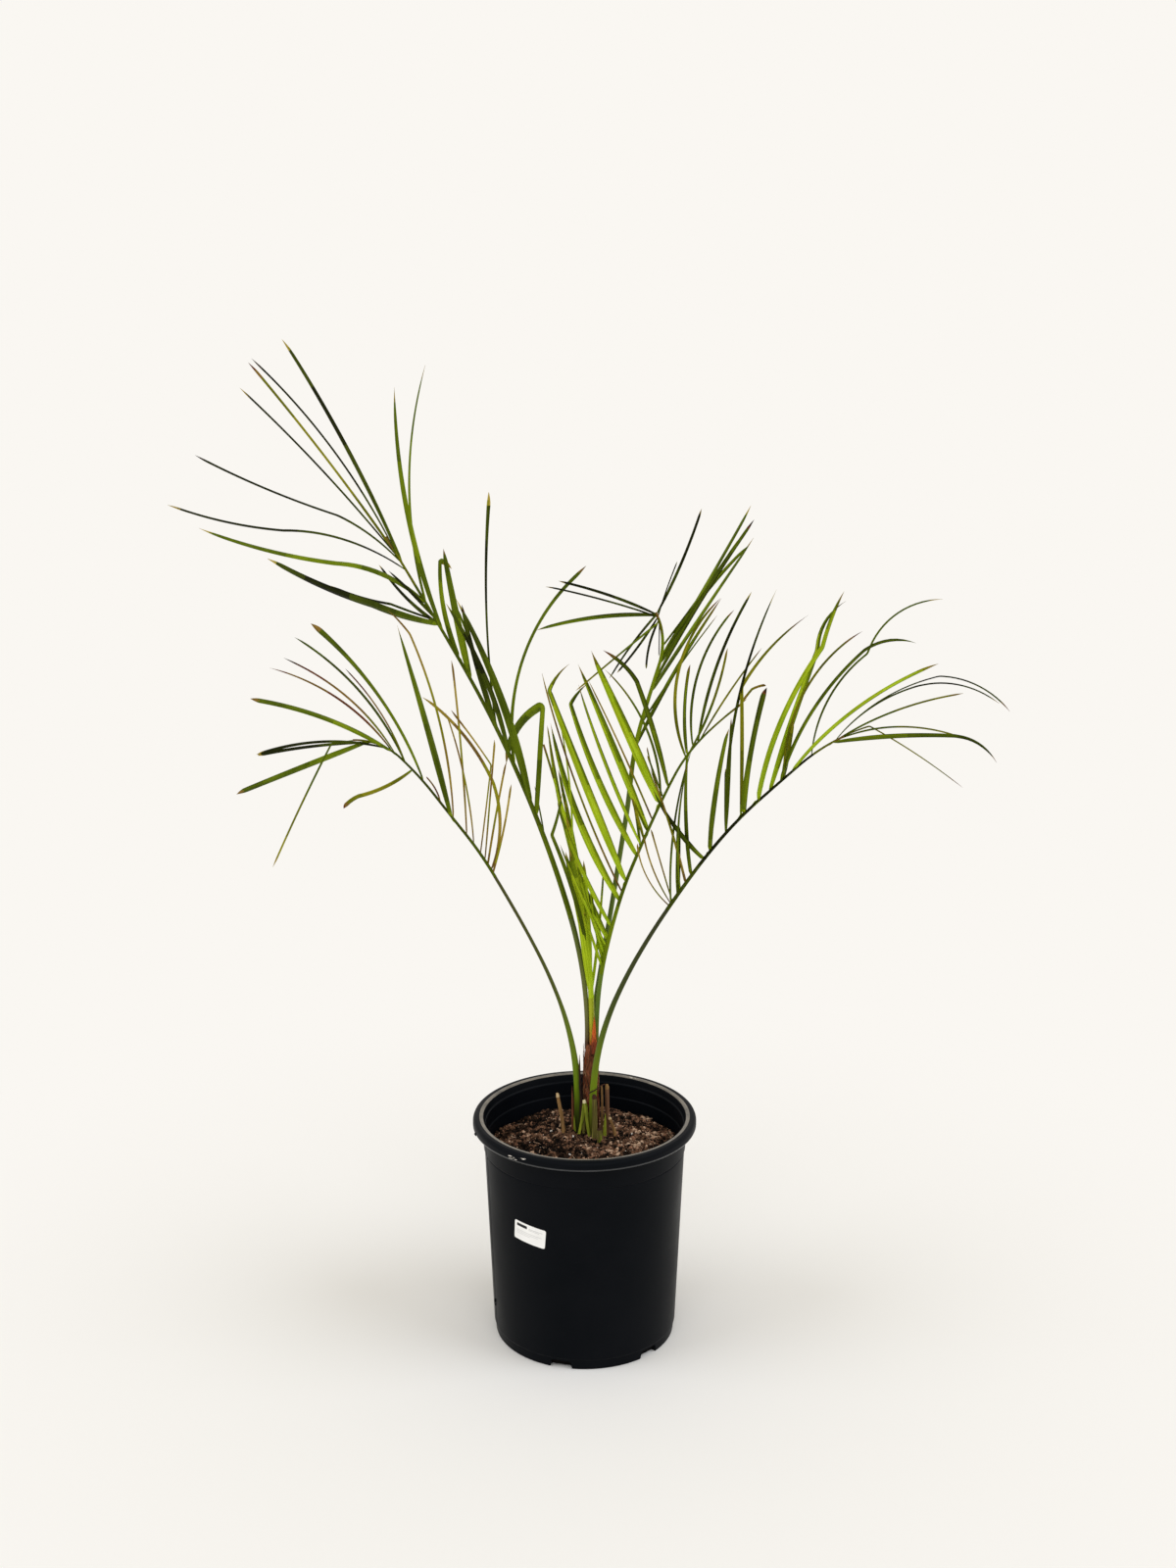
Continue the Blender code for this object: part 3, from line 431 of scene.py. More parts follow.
class Gather:
    """Points, faces and finishes collected for one joined mesh."""

    def __init__(self):
        self.points = []
        self.faces = []
        self.finish = []
        self.places = []

    def loft(self, rings, finishes=0, places=None, closed=True, capped=True):
        """Faces through rings of equal size; places are a ring's own surface coordinates."""
        start = len(self.points)
        count = len(rings[0])
        for row, ring in enumerate(rings):
            self.points.extend(ring)
            if places is None:
                spread = [abs(2 * side / count - 1) for side in range(count)]
                self.places.extend((across, row / len(rings)) for across in spread)
            else:
                self.places.extend(places[row])
        spans = count if closed else count - 1
        for row in range(len(rings) - 1):
            low = start + row * count
            shade = finishes if isinstance(finishes, int) else finishes[row]
            for side in range(spans):
                after = (side + 1) % count
                self.faces.append((low + side, low + after, low + after + count, low + side + count))
                self.finish.append(shade if isinstance(shade, int) else shade[side])
        if closed and capped:
            last = start + (len(rings) - 1) * count
            self.faces.append(tuple(range(start + count - 1, start - 1, -1)))
            self.faces.append(tuple(range(last, last + count)))
            ends = (finishes, finishes) if isinstance(finishes, int) else (finishes[0], finishes[-1])
            self.finish.extend(end if isinstance(end, int) else end[0] for end in ends)

    def lump(self, points, faces, shade):
        """A small closed shape with one finish."""
        start = len(self.points)
        self.points.extend(points)
        self.places.extend((0.0, 0.0) for _ in points)
        self.faces.extend(tuple(start + corner for corner in face) for face in faces)
        self.finish.extend(shade for _ in faces)

    def build(self, name, looks, crisp=40.0, smooth=True):
        """The joined mesh as an object with its finishes, surface coordinates and shading."""
        mesh = bpy.data.meshes.new(name)
        mesh.from_pydata([tuple(point) for point in self.points], [], self.faces)
        for look in looks:
            mesh.materials.append(look)
        mesh.polygons.foreach_set("material_index", self.finish)
        corners = np.empty(len(mesh.loops), dtype=np.int32)
        mesh.loops.foreach_get("vertex_index", corners)
        chart = mesh.uv_layers.new(name="surface")
        chart.data.foreach_set("uv", np.array(self.places, dtype=np.float32)[corners].ravel())
        mesh.polygons.foreach_set("use_smooth", [smooth] * len(mesh.polygons))
        mesh.validate()
        mesh.update()
        if smooth:
            mesh.set_sharp_from_angle(angle=math.radians(crisp))
        made = bpy.data.objects.new(name, mesh)
        bpy.context.scene.collection.objects.link(made)
        return made


def settle(piece, slot, *nodes):
    """Join a piece to the part: it rides with the body and covers nodes; the slot is not used."""
    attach(piece, "root")
    if nodes:
        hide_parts(*nodes)
    return piece


def surface(name, shades, grain, roughness, relief=0.0, stretch=(1, 1, 1), gloss=0.3, lines=0.0):
    """A Principled material whose colour wanders between shades, with fine relief.

    Shades run from the commonest dark tone to the light one. Lines adds fine ridges and streaks along
    the piece's own length, counted across its surface coordinates.
    """
    made = bpy.data.materials.new(name)
    made.use_nodes = True
    nodes = made.node_tree.nodes
    link = made.node_tree.links.new
    shader = nodes["Principled BSDF"]
    shader.inputs["Specular IOR Level"].default_value = gloss
    where = nodes.new("ShaderNodeTexCoord")
    scale = nodes.new("ShaderNodeMapping")
    scale.inputs["Scale"].default_value = stretch
    link(where.outputs["Object"], scale.inputs["Vector"])
    cloud = nodes.new("ShaderNodeTexNoise")
    cloud.inputs["Scale"].default_value = grain
    cloud.inputs["Detail"].default_value = 5.0
    cloud.inputs["Roughness"].default_value = 0.6
    link(scale.outputs["Vector"], cloud.inputs["Vector"])
    ramp = nodes.new("ShaderNodeValToRGB")
    stops = ramp.color_ramp.elements
    for index, shade in enumerate(shades):
        place = 0.32 + 0.36 * index / (len(shades) - 1)
        stop = stops[index] if index < 2 else stops.new(place)
        stop.position = place
        stop.color = (*linear(shade), 1.0)
    tone = cloud.outputs["Fac"]
    if lines:
        lay = nodes.new("ShaderNodeMapping")
        lay.inputs["Scale"].default_value = (9.0, 0.7, 1.0)
        link(where.outputs["UV"], lay.inputs["Vector"])
        streak = nodes.new("ShaderNodeTexNoise")
        streak.inputs["Scale"].default_value = 1.0
        streak.inputs["Detail"].default_value = 3.0
        link(lay.outputs["Vector"], streak.inputs["Vector"])
        average = nodes.new("ShaderNodeMath")
        average.operation = "MULTIPLY_ADD"
        average.inputs[1].default_value = 1.3
        link(streak.outputs["Fac"], average.inputs[0])
        offset = nodes.new("ShaderNodeMath")
        offset.operation = "SUBTRACT"
        offset.inputs[1].default_value = 0.65
        link(cloud.outputs["Fac"], offset.inputs[0])
        link(offset.outputs["Value"], average.inputs[2])
        tone = average.outputs["Value"]
    link(tone, ramp.inputs["Fac"])
    link(ramp.outputs["Color"], shader.inputs["Base Color"])
    spread = nodes.new("ShaderNodeMapRange")
    spread.inputs["From Min"].default_value = 0.3
    spread.inputs["From Max"].default_value = 0.7
    spread.inputs["To Min"].default_value = max(roughness - 0.08, 0.05)
    spread.inputs["To Max"].default_value = min(roughness + 0.08, 1.0)
    link(cloud.outputs["Fac"], spread.inputs["Value"])
    link(spread.outputs["Result"], shader.inputs["Roughness"])
    if relief:
        fine = nodes.new("ShaderNodeTexNoise")
        fine.inputs["Scale"].default_value = grain * 4
        fine.inputs["Detail"].default_value = 3.0
        link(scale.outputs["Vector"], fine.inputs["Vector"])
        height = fine.outputs["Fac"]
        if lines:
            comb = nodes.new("ShaderNodeTexWave")
            comb.bands_direction = "X"
            comb.inputs["Scale"].default_value = lines
            comb.inputs["Distortion"].default_value = 0.6
            comb.inputs["Detail"].default_value = 1.0
            link(where.outputs["UV"], comb.inputs["Vector"])
            both = nodes.new("ShaderNodeMath")
            both.operation = "ADD"
            link(fine.outputs["Fac"], both.inputs[0])
            link(comb.outputs["Fac"], both.inputs[1])
            height = both.outputs["Value"]
        bump = nodes.new("ShaderNodeBump")
        bump.inputs["Strength"].default_value = 0.5
        bump.inputs["Distance"].default_value = relief
        link(height, bump.inputs["Height"])
        link(bump.outputs["Normal"], shader.inputs["Normal"])
    return made


LEAF_SHADES = (
    ("leaf_yellow", ((148, 178, 22), (180, 204, 44))),
    ("leaf_lime", ((138, 162, 16), (170, 192, 34))),
    ("leaf_bright", ((134, 154, 14), (168, 184, 34))),
    ("leaf_fresh", ((92, 110, 8), (120, 138, 18))),
    ("leaf_mid", ((70, 86, 6), (96, 112, 16))),
    ("leaf_green", ((58, 72, 5), (84, 98, 14))),
    # The two darkest greens serve the dark tone as painted shade on leaflets that lie in shadow; other tones use
    # them too.
    ("leaf_dark", ((44, 54, 5), (68, 79, 13))),
    ("leaf_deep", ((18, 22, 2), (38, 43, 8))),
    ("leaf_olive", ((86, 90, 5), (116, 118, 18))),
    ("leaf_sage", ((112, 112, 12), (144, 140, 28))),
    ("leaf_straw", ((124, 104, 28), (162, 140, 54))),
    ("leaf_pale", ((150, 132, 50), (188, 168, 86))),
    ("leaf_brown", ((96, 74, 26), (134, 106, 46))),
    ("leaf_rust", ((78, 38, 16), (116, 66, 32))),
    ("leaf_scorched", ((30, 22, 10), (58, 42, 22))),
)
(
    YELLOW, LIME, BRIGHT, FRESH, MID, GREEN, DARK, DEEP,
    OLIVE, SAGE, STRAW, PALE, BROWN, RUST, SCORCHED,
) = range(15)


def bands(tone, chance):
    """The shades of one leaflet from foot to tip, as pairs of the place where each ends and its shade."""
    if tone == "bright":
        start = [(0.12, YELLOW), (0.45, LIME), (0.70, BRIGHT)]
        end = chance.choice((
            [(0.80, BRIGHT), (0.92, FRESH), (0.97, OLIVE), (1.0, STRAW)],
            [(0.78, BRIGHT), (0.88, FRESH), (0.97, MID), (1.0, PALE)],
            [(0.82, LIME), (0.92, BRIGHT), (0.97, SAGE), (1.0, STRAW)],
            [(0.80, FRESH), (0.95, MID), (0.98, GREEN), (1.0, BROWN)],
        ))
        return start + end
    if tone == "green":
        start = [(0.03, FRESH), (0.10, MID)]
        middle = chance.choice((
            [(0.34, GREEN), (0.80, DARK), (0.95, GREEN)], [(0.42, MID), (0.74, GREEN), (0.95, DARK)],
            [(0.26, GREEN), (0.52, DARK), (0.78, DEEP), (0.95, DARK)], [(0.50, GREEN), (0.95, MID)],
            [(0.30, MID), (0.62, FRESH), (0.95, MID)],
        ))
        end = chance.choice((
            [(1.0, GREEN)], [(0.98, OLIVE), (1.0, STRAW)], [(0.97, RUST), (1.0, SCORCHED)],
            [(0.97, SAGE), (1.0, PALE)], [(0.98, BROWN), (1.0, RUST)],
        ))
        return start + middle + end
    if tone == "fresh":
        return [(0.04, FRESH), (0.10, MID)] + chance.choice((
            [(0.45, FRESH), (0.80, MID), (0.96, GREEN), (1.0, BROWN)],
            [(0.30, MID), (0.70, FRESH), (0.95, MID), (1.0, STRAW)],
        ))
    # The dark tone is painted shade: deep greens for leaflets that lie in shadow.
    if tone == "dark":
        return [(0.05, GREEN)] + chance.choice((
            [(0.30, DARK), (0.96, DEEP), (1.0, SCORCHED)], [(0.16, DARK), (0.94, DEEP), (1.0, OLIVE)],
            [(0.20, DEEP), (0.45, DARK), (0.97, DEEP), (1.0, STRAW)],
        ))
    if tone == "brown":
        return [(0.06, GREEN)] + chance.choice((
            [(0.35, OLIVE), (0.70, BROWN), (0.92, RUST), (1.0, SCORCHED)],
            [(0.25, BROWN), (0.60, RUST), (0.90, BROWN), (1.0, RUST)],
        ))
    if tone == "olive":
        return [(0.05, FRESH)] + chance.choice((
            [(0.50, MID), (0.80, OLIVE), (0.93, SAGE), (1.0, STRAW)],
            [(0.30, OLIVE), (0.70, SAGE), (0.90, OLIVE), (0.96, BROWN), (1.0, RUST)],
            [(0.40, GREEN), (0.75, MID), (0.92, OLIVE), (1.0, BROWN)],
        ))
    return [(0.12, BROWN)] + chance.choice((
        [(0.35, STRAW), (0.65, SAGE), (0.88, STRAW), (1.0, BROWN)],
        [(0.35, SAGE), (0.60, STRAW), (0.85, PALE), (1.0, STRAW)],
        [(0.30, STRAW), (0.55, SAGE), (0.80, BROWN), (1.0, STRAW)],
    ))


def fullness(t, taper):
    """How wide a leaflet is along its length, as a share of its named width."""
    if t < 0.0:
        return 0.55 + 6.0 * t
    joint = min(0.55 + t / 0.012 * 0.45, 1.0)
    if t < 0.3:
        return joint * (0.55 + 0.45 * math.sin(math.pi / 2 * t / 0.3))
    start = 0.84 + 0.1 * min(taper, 1.0)
    tip = 1.0 - max((t - start) / (1.0 - start), 0.0) ** 1.7
    return (1.0 - (1.0 - taper) * ((t - 0.3) / 0.7) ** 1.8) * tip


def directions(line):
    """The direction of a polyline at each of its points."""
    steps = [(after - before).normalized() for before, after in zip(line, line[1:])]
    inner = [(before + after).normalized() for before, after in zip(steps, steps[1:])]
    return [steps[0]] + inner + [steps[-1]]


def add_leaflet(mesh, line, places, side, run, sideways, chance):
    """One leaflet folded along its midrib, thin at its edges and thicker along the keel."""
    dry = run.tone == "dry"
    turn_to = LEAF_TWIST + chance.uniform(-9, 9)
    length = sum((after - before).length for before, after in zip(line, line[1:]))
    drawn = bands(run.tone, chance)
    drift = [chance.uniform(-0.022, 0.022) for _ in range(8)]
    shift = chance.uniform(0.0, 50.0)
    rings, charts, shades = [], [], []
    for point, way, t in zip(line, directions(line), places):
        twist = math.radians(LEAF_TWIST + (turn_to - LEAF_TWIST) * math.sin(math.pi * t)) * side
        level = (sideways - way * sideways.dot(way)).normalized()
        across = level.cross(way) * math.cos(twist) + level * math.sin(twist)
        through = across.cross(way)
        half = max(0.5 * run.width * fullness(t, run.taper), 0.00008)
        pinch = math.radians((46 if dry else 22) + 22 * min(1 - t, 1.0) ** 6 + 14 * max(t, 0.0) ** 3)
        depth = half * math.tan(pinch)
        keel = 0.00016 + 0.00055 * (1 - t) ** 2 * min(run.width / 0.006, 1.0)
        blade = 0.00013 + 0.0003 * min(max(1 - t / 0.03, 0.0), 1.0)
        upper = [(-1.0, 1.0), (-0.55, 0.52), (0.0, 0.0), (0.55, 0.52), (1.0, 1.0)]
        lower = [(0.55, 0.52, blade), (0.0, 0.0, keel), (-0.55, 0.52, blade)]
        ring = [point + across * half * a + through * depth * (h - 0.5) for a, h in upper]
        ring += [point + across * half * a + through * (depth * (h - 0.5) - thick) for a, h, thick in lower]
        rings.append(ring)
        along = shift + t * length * 12
        charts.append([(0.5 + 0.5 * a, along) for a, _ in upper] + [(0.5 + 0.5 * a, along) for a, _, _ in lower])
        strips = [min(t + 0.02 + off, 0.999) for off in drift]
        strips = [next(shade for until, shade in drawn if place < until) for place in strips]
        # On wide leaflets one half of the fold is painted a step lighter and the other a step darker: painted light
        # and shade on the fold's two faces.
        if run.width > FOLDED_WIDTH:
            for strip, step in ((1, -1), (2, run.tone == "bright"), (3, 1 + (run.tone == "bright"))):
                if strips[strip] <= DEEP:
                    strips[strip] = min(max(strips[strip] + step, YELLOW), DEEP)
        shades.append(strips)
    mesh.loft(rings, shades, charts)


def add_rod(mesh, line, radius_at, sideways, sides, finishes=0, shape=None):
    """A tapered rod along a polyline, round or with a section of its own."""
    rings = []
    for index, (point, way) in enumerate(zip(line, directions(line))):
        t = index / (len(line) - 1)
        across = (sideways - way * sideways.dot(way)).normalized()
        other = way.cross(across)
        ring = []
        for side in range(sides):
            turn = 2 * math.pi * side / sides
            reach = radius_at(t) * (shape(turn, t) if shape else 1.0)
            ring.append(point + (across * math.cos(turn) + other * math.sin(turn)) * reach)
        rings.append(ring)
    mesh.loft(rings, finishes)


RIB_SHADES = {
    "low_left": (GREEN, DARK), "tall_left": (MID, GREEN), "spear": (YELLOW, LIME),
    "fan": (FRESH, MID), "tall_right": (MID, FRESH), "low_right": (DARK, DEEP),
}


def build_leaves(frond, looks, slot):
    """All leaflets of one frond as one joined piece, and the rib that carries them as another."""
    chance = random.Random(SEED + len(frond.name) * 7 + int(frond.heading))
    _, sideways = plane_axes(frond)
    node = "frond_" + frond.name
    leaves = Gather()
    for run in frond.runs:
        for index in range(run.count):
            line, places, side = leaf_path(frond, run, index)
            add_leaflet(leaves, line, places, side, run, sideways, chance)
    settle(leaves.build("leaflets_" + frond.name, looks), slot, node)
    rib = Gather()
    line = [rib_point(frond, frond.bare + (1 - frond.bare) * step / 60) for step in range(61)]
    middle, tip = frond.radii[-2:]
    foot, main = RIB_SHADES[frond.name]
    shades = [foot if step < 14 else (main if step < 52 else (OLIVE if step < 58 else BROWN)) for step in range(61)]
    add_rod(
        rib, line, lambda t: middle + (tip - middle) * t, sideways, 10, shades,
        lambda turn, t: 1 - 0.16 * math.cos(turn) ** 2,
    )
    settle(rib.build("rib_" + frond.name, looks), slot, node)


def build_petiole(frond, look):
    """The bare stalk of a frond: a grooved rod whose foot is buried in what carries it."""
    _, sideways = plane_axes(frond)
    stalk = Gather()
    line = [Vector(frond.foot) - Vector((0, 0, BURIED))]
    line += [rib_point(frond, frond.bare * step / 72) for step in range(73)]
    add_rod(
        stalk, line, lambda t: blend(frond.radii[:-1], (t * 73 - 1) / 72), sideways, 20, 0,
        lambda turn, t: 1 - 0.02 * math.cos(turn) ** 2 - 0.10 * max(math.sin(turn), 0.0) ** 6,
    )
    settle(stalk.build("petiole_" + frond.name, [look], 60), "petiole", "petiole_" + frond.name)


def rounded(points, size):
    """A section with each inner corner replaced by a short arc."""
    made = [points[0]]
    for before, here, after in zip(points, points[1:], points[2:]):
        here = Vector(here)
        start, end = Vector(before) - here, Vector(after) - here
        back = min(size, 0.42 * start.length)
        on = min(size, 0.42 * end.length)
        first, last = here + start.normalized() * back, here + end.normalized() * on
        for step in range(4):
            t = step / 3
            made.append(tuple(first * (1 - t) ** 2 + here * 2 * t * (1 - t) + last * t * t))
    made.append(points[-1])
    return made


def wall_radius(height):
    """The outer radius of the pot's plain wall at a height."""
    rise = (height - 0.0135) / (BAND_HEIGHT - 0.0135)
    return FOOT_RADIUS + (SHOULDER_RADIUS - FOOT_RADIUS) * min(max(rise, 0.0), 1.0)


def inner_radius(height):
    """The radius inside the pot at a height below its top band."""
    rise = (height - FLOOR - 0.012) / (BAND_HEIGHT - FLOOR - 0.012)
    low = FOOT_RADIUS - WALL - 0.001
    high = wall_radius(BAND_HEIGHT) - WALL - 0.0014
    return low + (high - low) * rise


def pot_profile():
    """The pot's section: up the outside with its groove, over the rim and down the stepped inside."""
    skirt = POT_HEIGHT - RIM_DROP
    inner = wall_radius(BAND_HEIGHT) - WALL
    foot, shoulder, rim = FOOT_RADIUS, SHOULDER_RADIUS, RIM_RADIUS
    return [
        (0.0, 0.0012), (0.070, 0.0012), (0.0725, 0.0), (BASE_RADIUS - 0.0012, 0.0),
        (BASE_RADIUS, 0.0012), (BASE_RADIUS + 0.0006, 0.0123), (foot, 0.0135),
        (wall_radius(0.11), 0.11), (shoulder, BAND_HEIGHT - 0.0022),
        (shoulder - 0.0005, BAND_HEIGHT - 0.0014), (shoulder - 0.0005, BAND_HEIGHT - 0.0006),
        (shoulder + 0.0011, BAND_HEIGHT + 0.0004), (shoulder + 0.0021, skirt - 0.0002),
        (rim - 0.0022, skirt), (rim - 0.0007, skirt + 0.0004), (rim, skirt + 0.0016),
        (rim, POT_HEIGHT - 0.0040), (rim - 0.0012, POT_HEIGHT - 0.0010),
        (rim - 0.0036, POT_HEIGHT), (RIM_INNER_RADIUS + RIM_WEAR_AND_HIGHLIGHT_WIDTH, POT_HEIGHT),
        (RIM_INNER_RADIUS + 0.0015, POT_HEIGHT),
        (RIM_INNER_RADIUS - 0.0009, POT_HEIGHT - 0.0010), (inner + 0.0018, POT_HEIGHT - 0.0085),
        (inner + 0.0004, POT_HEIGHT - 0.0098), (inner + 0.0002, BAND_HEIGHT + 0.0122),
        (inner - 0.0008, BAND_HEIGHT + 0.0112), (inner - 0.0014, BAND_HEIGHT),
        (foot - WALL - 0.001, FLOOR + 0.012), (foot - WALL - 0.003, FLOOR), (0.0, FLOOR),
    ]


def build_pot(looks):
    """The moulded pot: a fine shell with its two parting lines and its drain notches."""
    section = rounded(pot_profile(), 0.0009)
    turns = {2 * math.pi * side / POT_SIDES for side in range(POT_SIDES)}
    for seam in SEAM_ANGLES:
        centre = math.radians(seam) % (2 * math.pi)
        turns |= {centre + step * 0.0022 for step in (-2, -1, 0, 1, 2)}
    turns = sorted(turns)
    shell = Gather()
    rings = []
    for radius, height in section:
        ring = []
        for turn in turns:
            proud = 0.0
            for seam in SEAM_ANGLES:
                off = (turn - math.radians(seam) + math.pi) % (2 * math.pi) - math.pi
                proud += 0.00028 * math.exp(-((off / 0.003) ** 2))
            outside = radius > wall_radius(height) - 0.0007
            outside = outside and 0.002 < height < POT_HEIGHT - RIM_DROP - 0.001
            reach = max(radius, 0.00001) + (proud if outside else 0.0)
            ring.append(Vector((reach * math.cos(turn), reach * math.sin(turn), height)))
        rings.append(ring)
    skirt = POT_HEIGHT - RIM_DROP
    rim = []
    for radius, height in section:
        # The inner edge of the rim's top takes the light taupe finish: partly wear and dust, partly a painted
        # highlight.
        wear_and_highlight = abs(radius - RIM_INNER_RADIUS) < RIM_WEAR_AND_HIGHLIGHT_WIDTH + 0.0001 and height > POT_HEIGHT - 0.0009
        # A lighter grey band along the lower edge of the rim's skirt is a painted highlight.
        lip_highlight = radius > RIM_RADIUS - 0.0012 and skirt < height < skirt + 0.0020
        rim.append(1 if wear_and_highlight else (2 if lip_highlight else 0))
    shell.loft(rings, rim)
    pot = shell.build("pot_shell", looks, 32)
    cutters = bpy.data.collections.new("notches")
    bpy.context.scene.collection.children.link(cutters)
    for number, angle in enumerate(NOTCH_ANGLES):
        cutters.objects.link(notch(number, angle))
    cut = pot.modifiers.new("notches", "BOOLEAN")
    cut.operation = "DIFFERENCE"
    cut.operand_type = "COLLECTION"
    cut.collection = cutters
    cut.solver = "EXACT"
    bpy.context.view_layer.update()
    shown = pot.evaluated_get(bpy.context.evaluated_depsgraph_get())
    whole = bpy.data.meshes.new_from_object(shown)
    pot.modifiers.clear()
    pot.data = whole
    whole.set_sharp_from_angle(angle=math.radians(32))
    for piece in list(cutters.objects):
        bpy.data.objects.remove(piece, do_unlink=True)
    bpy.data.collections.remove(cutters)
    return settle(pot, "pot", "pot")


def notch(number, angle):
    """A cutter for one drain notch: a low arch with rounded upper corners."""
    half, top, corner = 0.5 * NOTCH_WIDTH, NOTCH_HEIGHT, 0.0035
    outline = [(-half, -0.002)]
    for step in range(6):
        bend = math.pi / 2 * step / 5
        outline.append((
            -half + 0.0015 + corner * (1 - math.cos(bend)), top - corner + corner * math.sin(bend),
        ))
    outline += [(-across, height) for across, height in reversed(outline)]
    outline.reverse()
    turn = Matrix.Rotation(math.radians(angle), 4, "Z")
    cutter = Gather()
    cutter.loft([
        [turn @ Vector((radius, across, height)) for across, height in outline]
        for radius in (BASE_RADIUS - 0.012, RIM_RADIUS)
    ])
    mesh = bpy.data.meshes.new(f"notch_{number}")
    mesh.from_pydata([tuple(point) for point in cutter.points], [], cutter.faces)
    return bpy.data.objects.new(f"notch_{number}", mesh)


def build_nubs(look):
    """Small moulding nubs on the parting lines, under the rim and low on the wall."""
    nubs = Gather()
    for seam in SEAM_ANGLES:
        way = Vector((math.cos(math.radians(seam)), math.sin(math.radians(seam)), 0))
        side = Vector((-way.y, way.x, 0))
        for radius, height, size in (
            (RIM_RADIUS - 0.0004, POT_HEIGHT - RIM_DROP + 0.002, 0.0016),
            (wall_radius(0.046), 0.046, 0.0018), (wall_radius(0.041), 0.041, 0.0012),
        ):
            line = [
                way * radius + Vector((0, 0, height - size * 1.6)),
                way * (radius + 0.0004) + Vector((0, 0, height)),
                way * radius + Vector((0, 0, height + size * 1.4)),
            ]
            add_rod(nubs, line, lambda t, s=size: s * (0.35 + 0.65 * math.sin(math.pi * t)), side, 8)
    return settle(nubs.build("pot_nubs", [look]), "pot")


def build_scuffs(look):
    """Pale scratches on the front of the rim and on its inner edge."""
    chance = random.Random(SEED + 21)
    scuffs = Gather()
    for number in range(11):
        if number < 8:
            turn = math.radians(-126 + chance.uniform(-5, 5))
            height = POT_HEIGHT - chance.uniform(0.0030, 0.0085)
            radius = RIM_RADIUS
        else:
            turn = math.radians(61 + chance.uniform(-2, 2))
            height = POT_HEIGHT - 0.0002
            radius = RIM_INNER_RADIUS + 0.0012
        span = chance.uniform(0.0012, 0.0042) / RIM_RADIUS
        line = [
            Vector((radius * math.cos(turn + a), radius * math.sin(turn + a), height + 0.10 * a * RIM_RADIUS))
            for a in (-span, -span / 3, span / 3, span)
        ]
        size = chance.uniform(0.00018, 0.00050)
        add_rod(scuffs, line, lambda t, s=size: s * (1 - abs(2 * t - 1) ** 2) + 0.00004, Vector((0, 0, 1)), 6)
    settle(scuffs.build("rim_scuffs", [look]), "pot")


def bed_height(x, y):
    """The height of the potting mix: a low mound at the plant, with lumps and hollows."""
    radius = math.hypot(x, y)
    stations = (
        (0.0, SOIL_TOP), (SOIL_PLATEAU, SOIL_TOP), (0.062, SOIL_TOP - 0.0018),
        (0.088, 0.5 * (SOIL_EDGE + SOIL_TOP) + 0.0012), (0.1127, SOIL_EDGE), (0.2, SOIL_EDGE),
    )
    low, high = next((a, b) for a, b in zip(stations, stations[1:]) if radius <= b[0])
    height = low[1] + (high[1] - low[1]) * (radius - low[0]) / (high[0] - low[0])
    calm = 0.35 if radius < 0.03 else 1.0
    height += 0.0042 * calm * noise.fractal(Vector((x, y, 3.1)) * 26, 1.0, 2.0, 3)
    height += 0.0022 * noise.fractal(Vector((x, y, 7.7)) * 120, 0.9, 2.1, 4)
    # The bed sinks a little where the painted shade is darkest, so the painted hollows lie low.
    return height + 0.0026 * calm * min(soil_painted_light(x, y), 0.0)


def soil_painted_light(x, y):
    """How light the mix is painted at a place: below 0 for painted shade in its hollows and towards the left back,
    above 0 for painted light towards the right front.
    """
    drift = 2.4 * (x - 0.9 * y) + 0.05
    return drift + 1.1 * noise.fractal(Vector((x, y, 11.3)) * 62, 1.0, 2.0, 3)


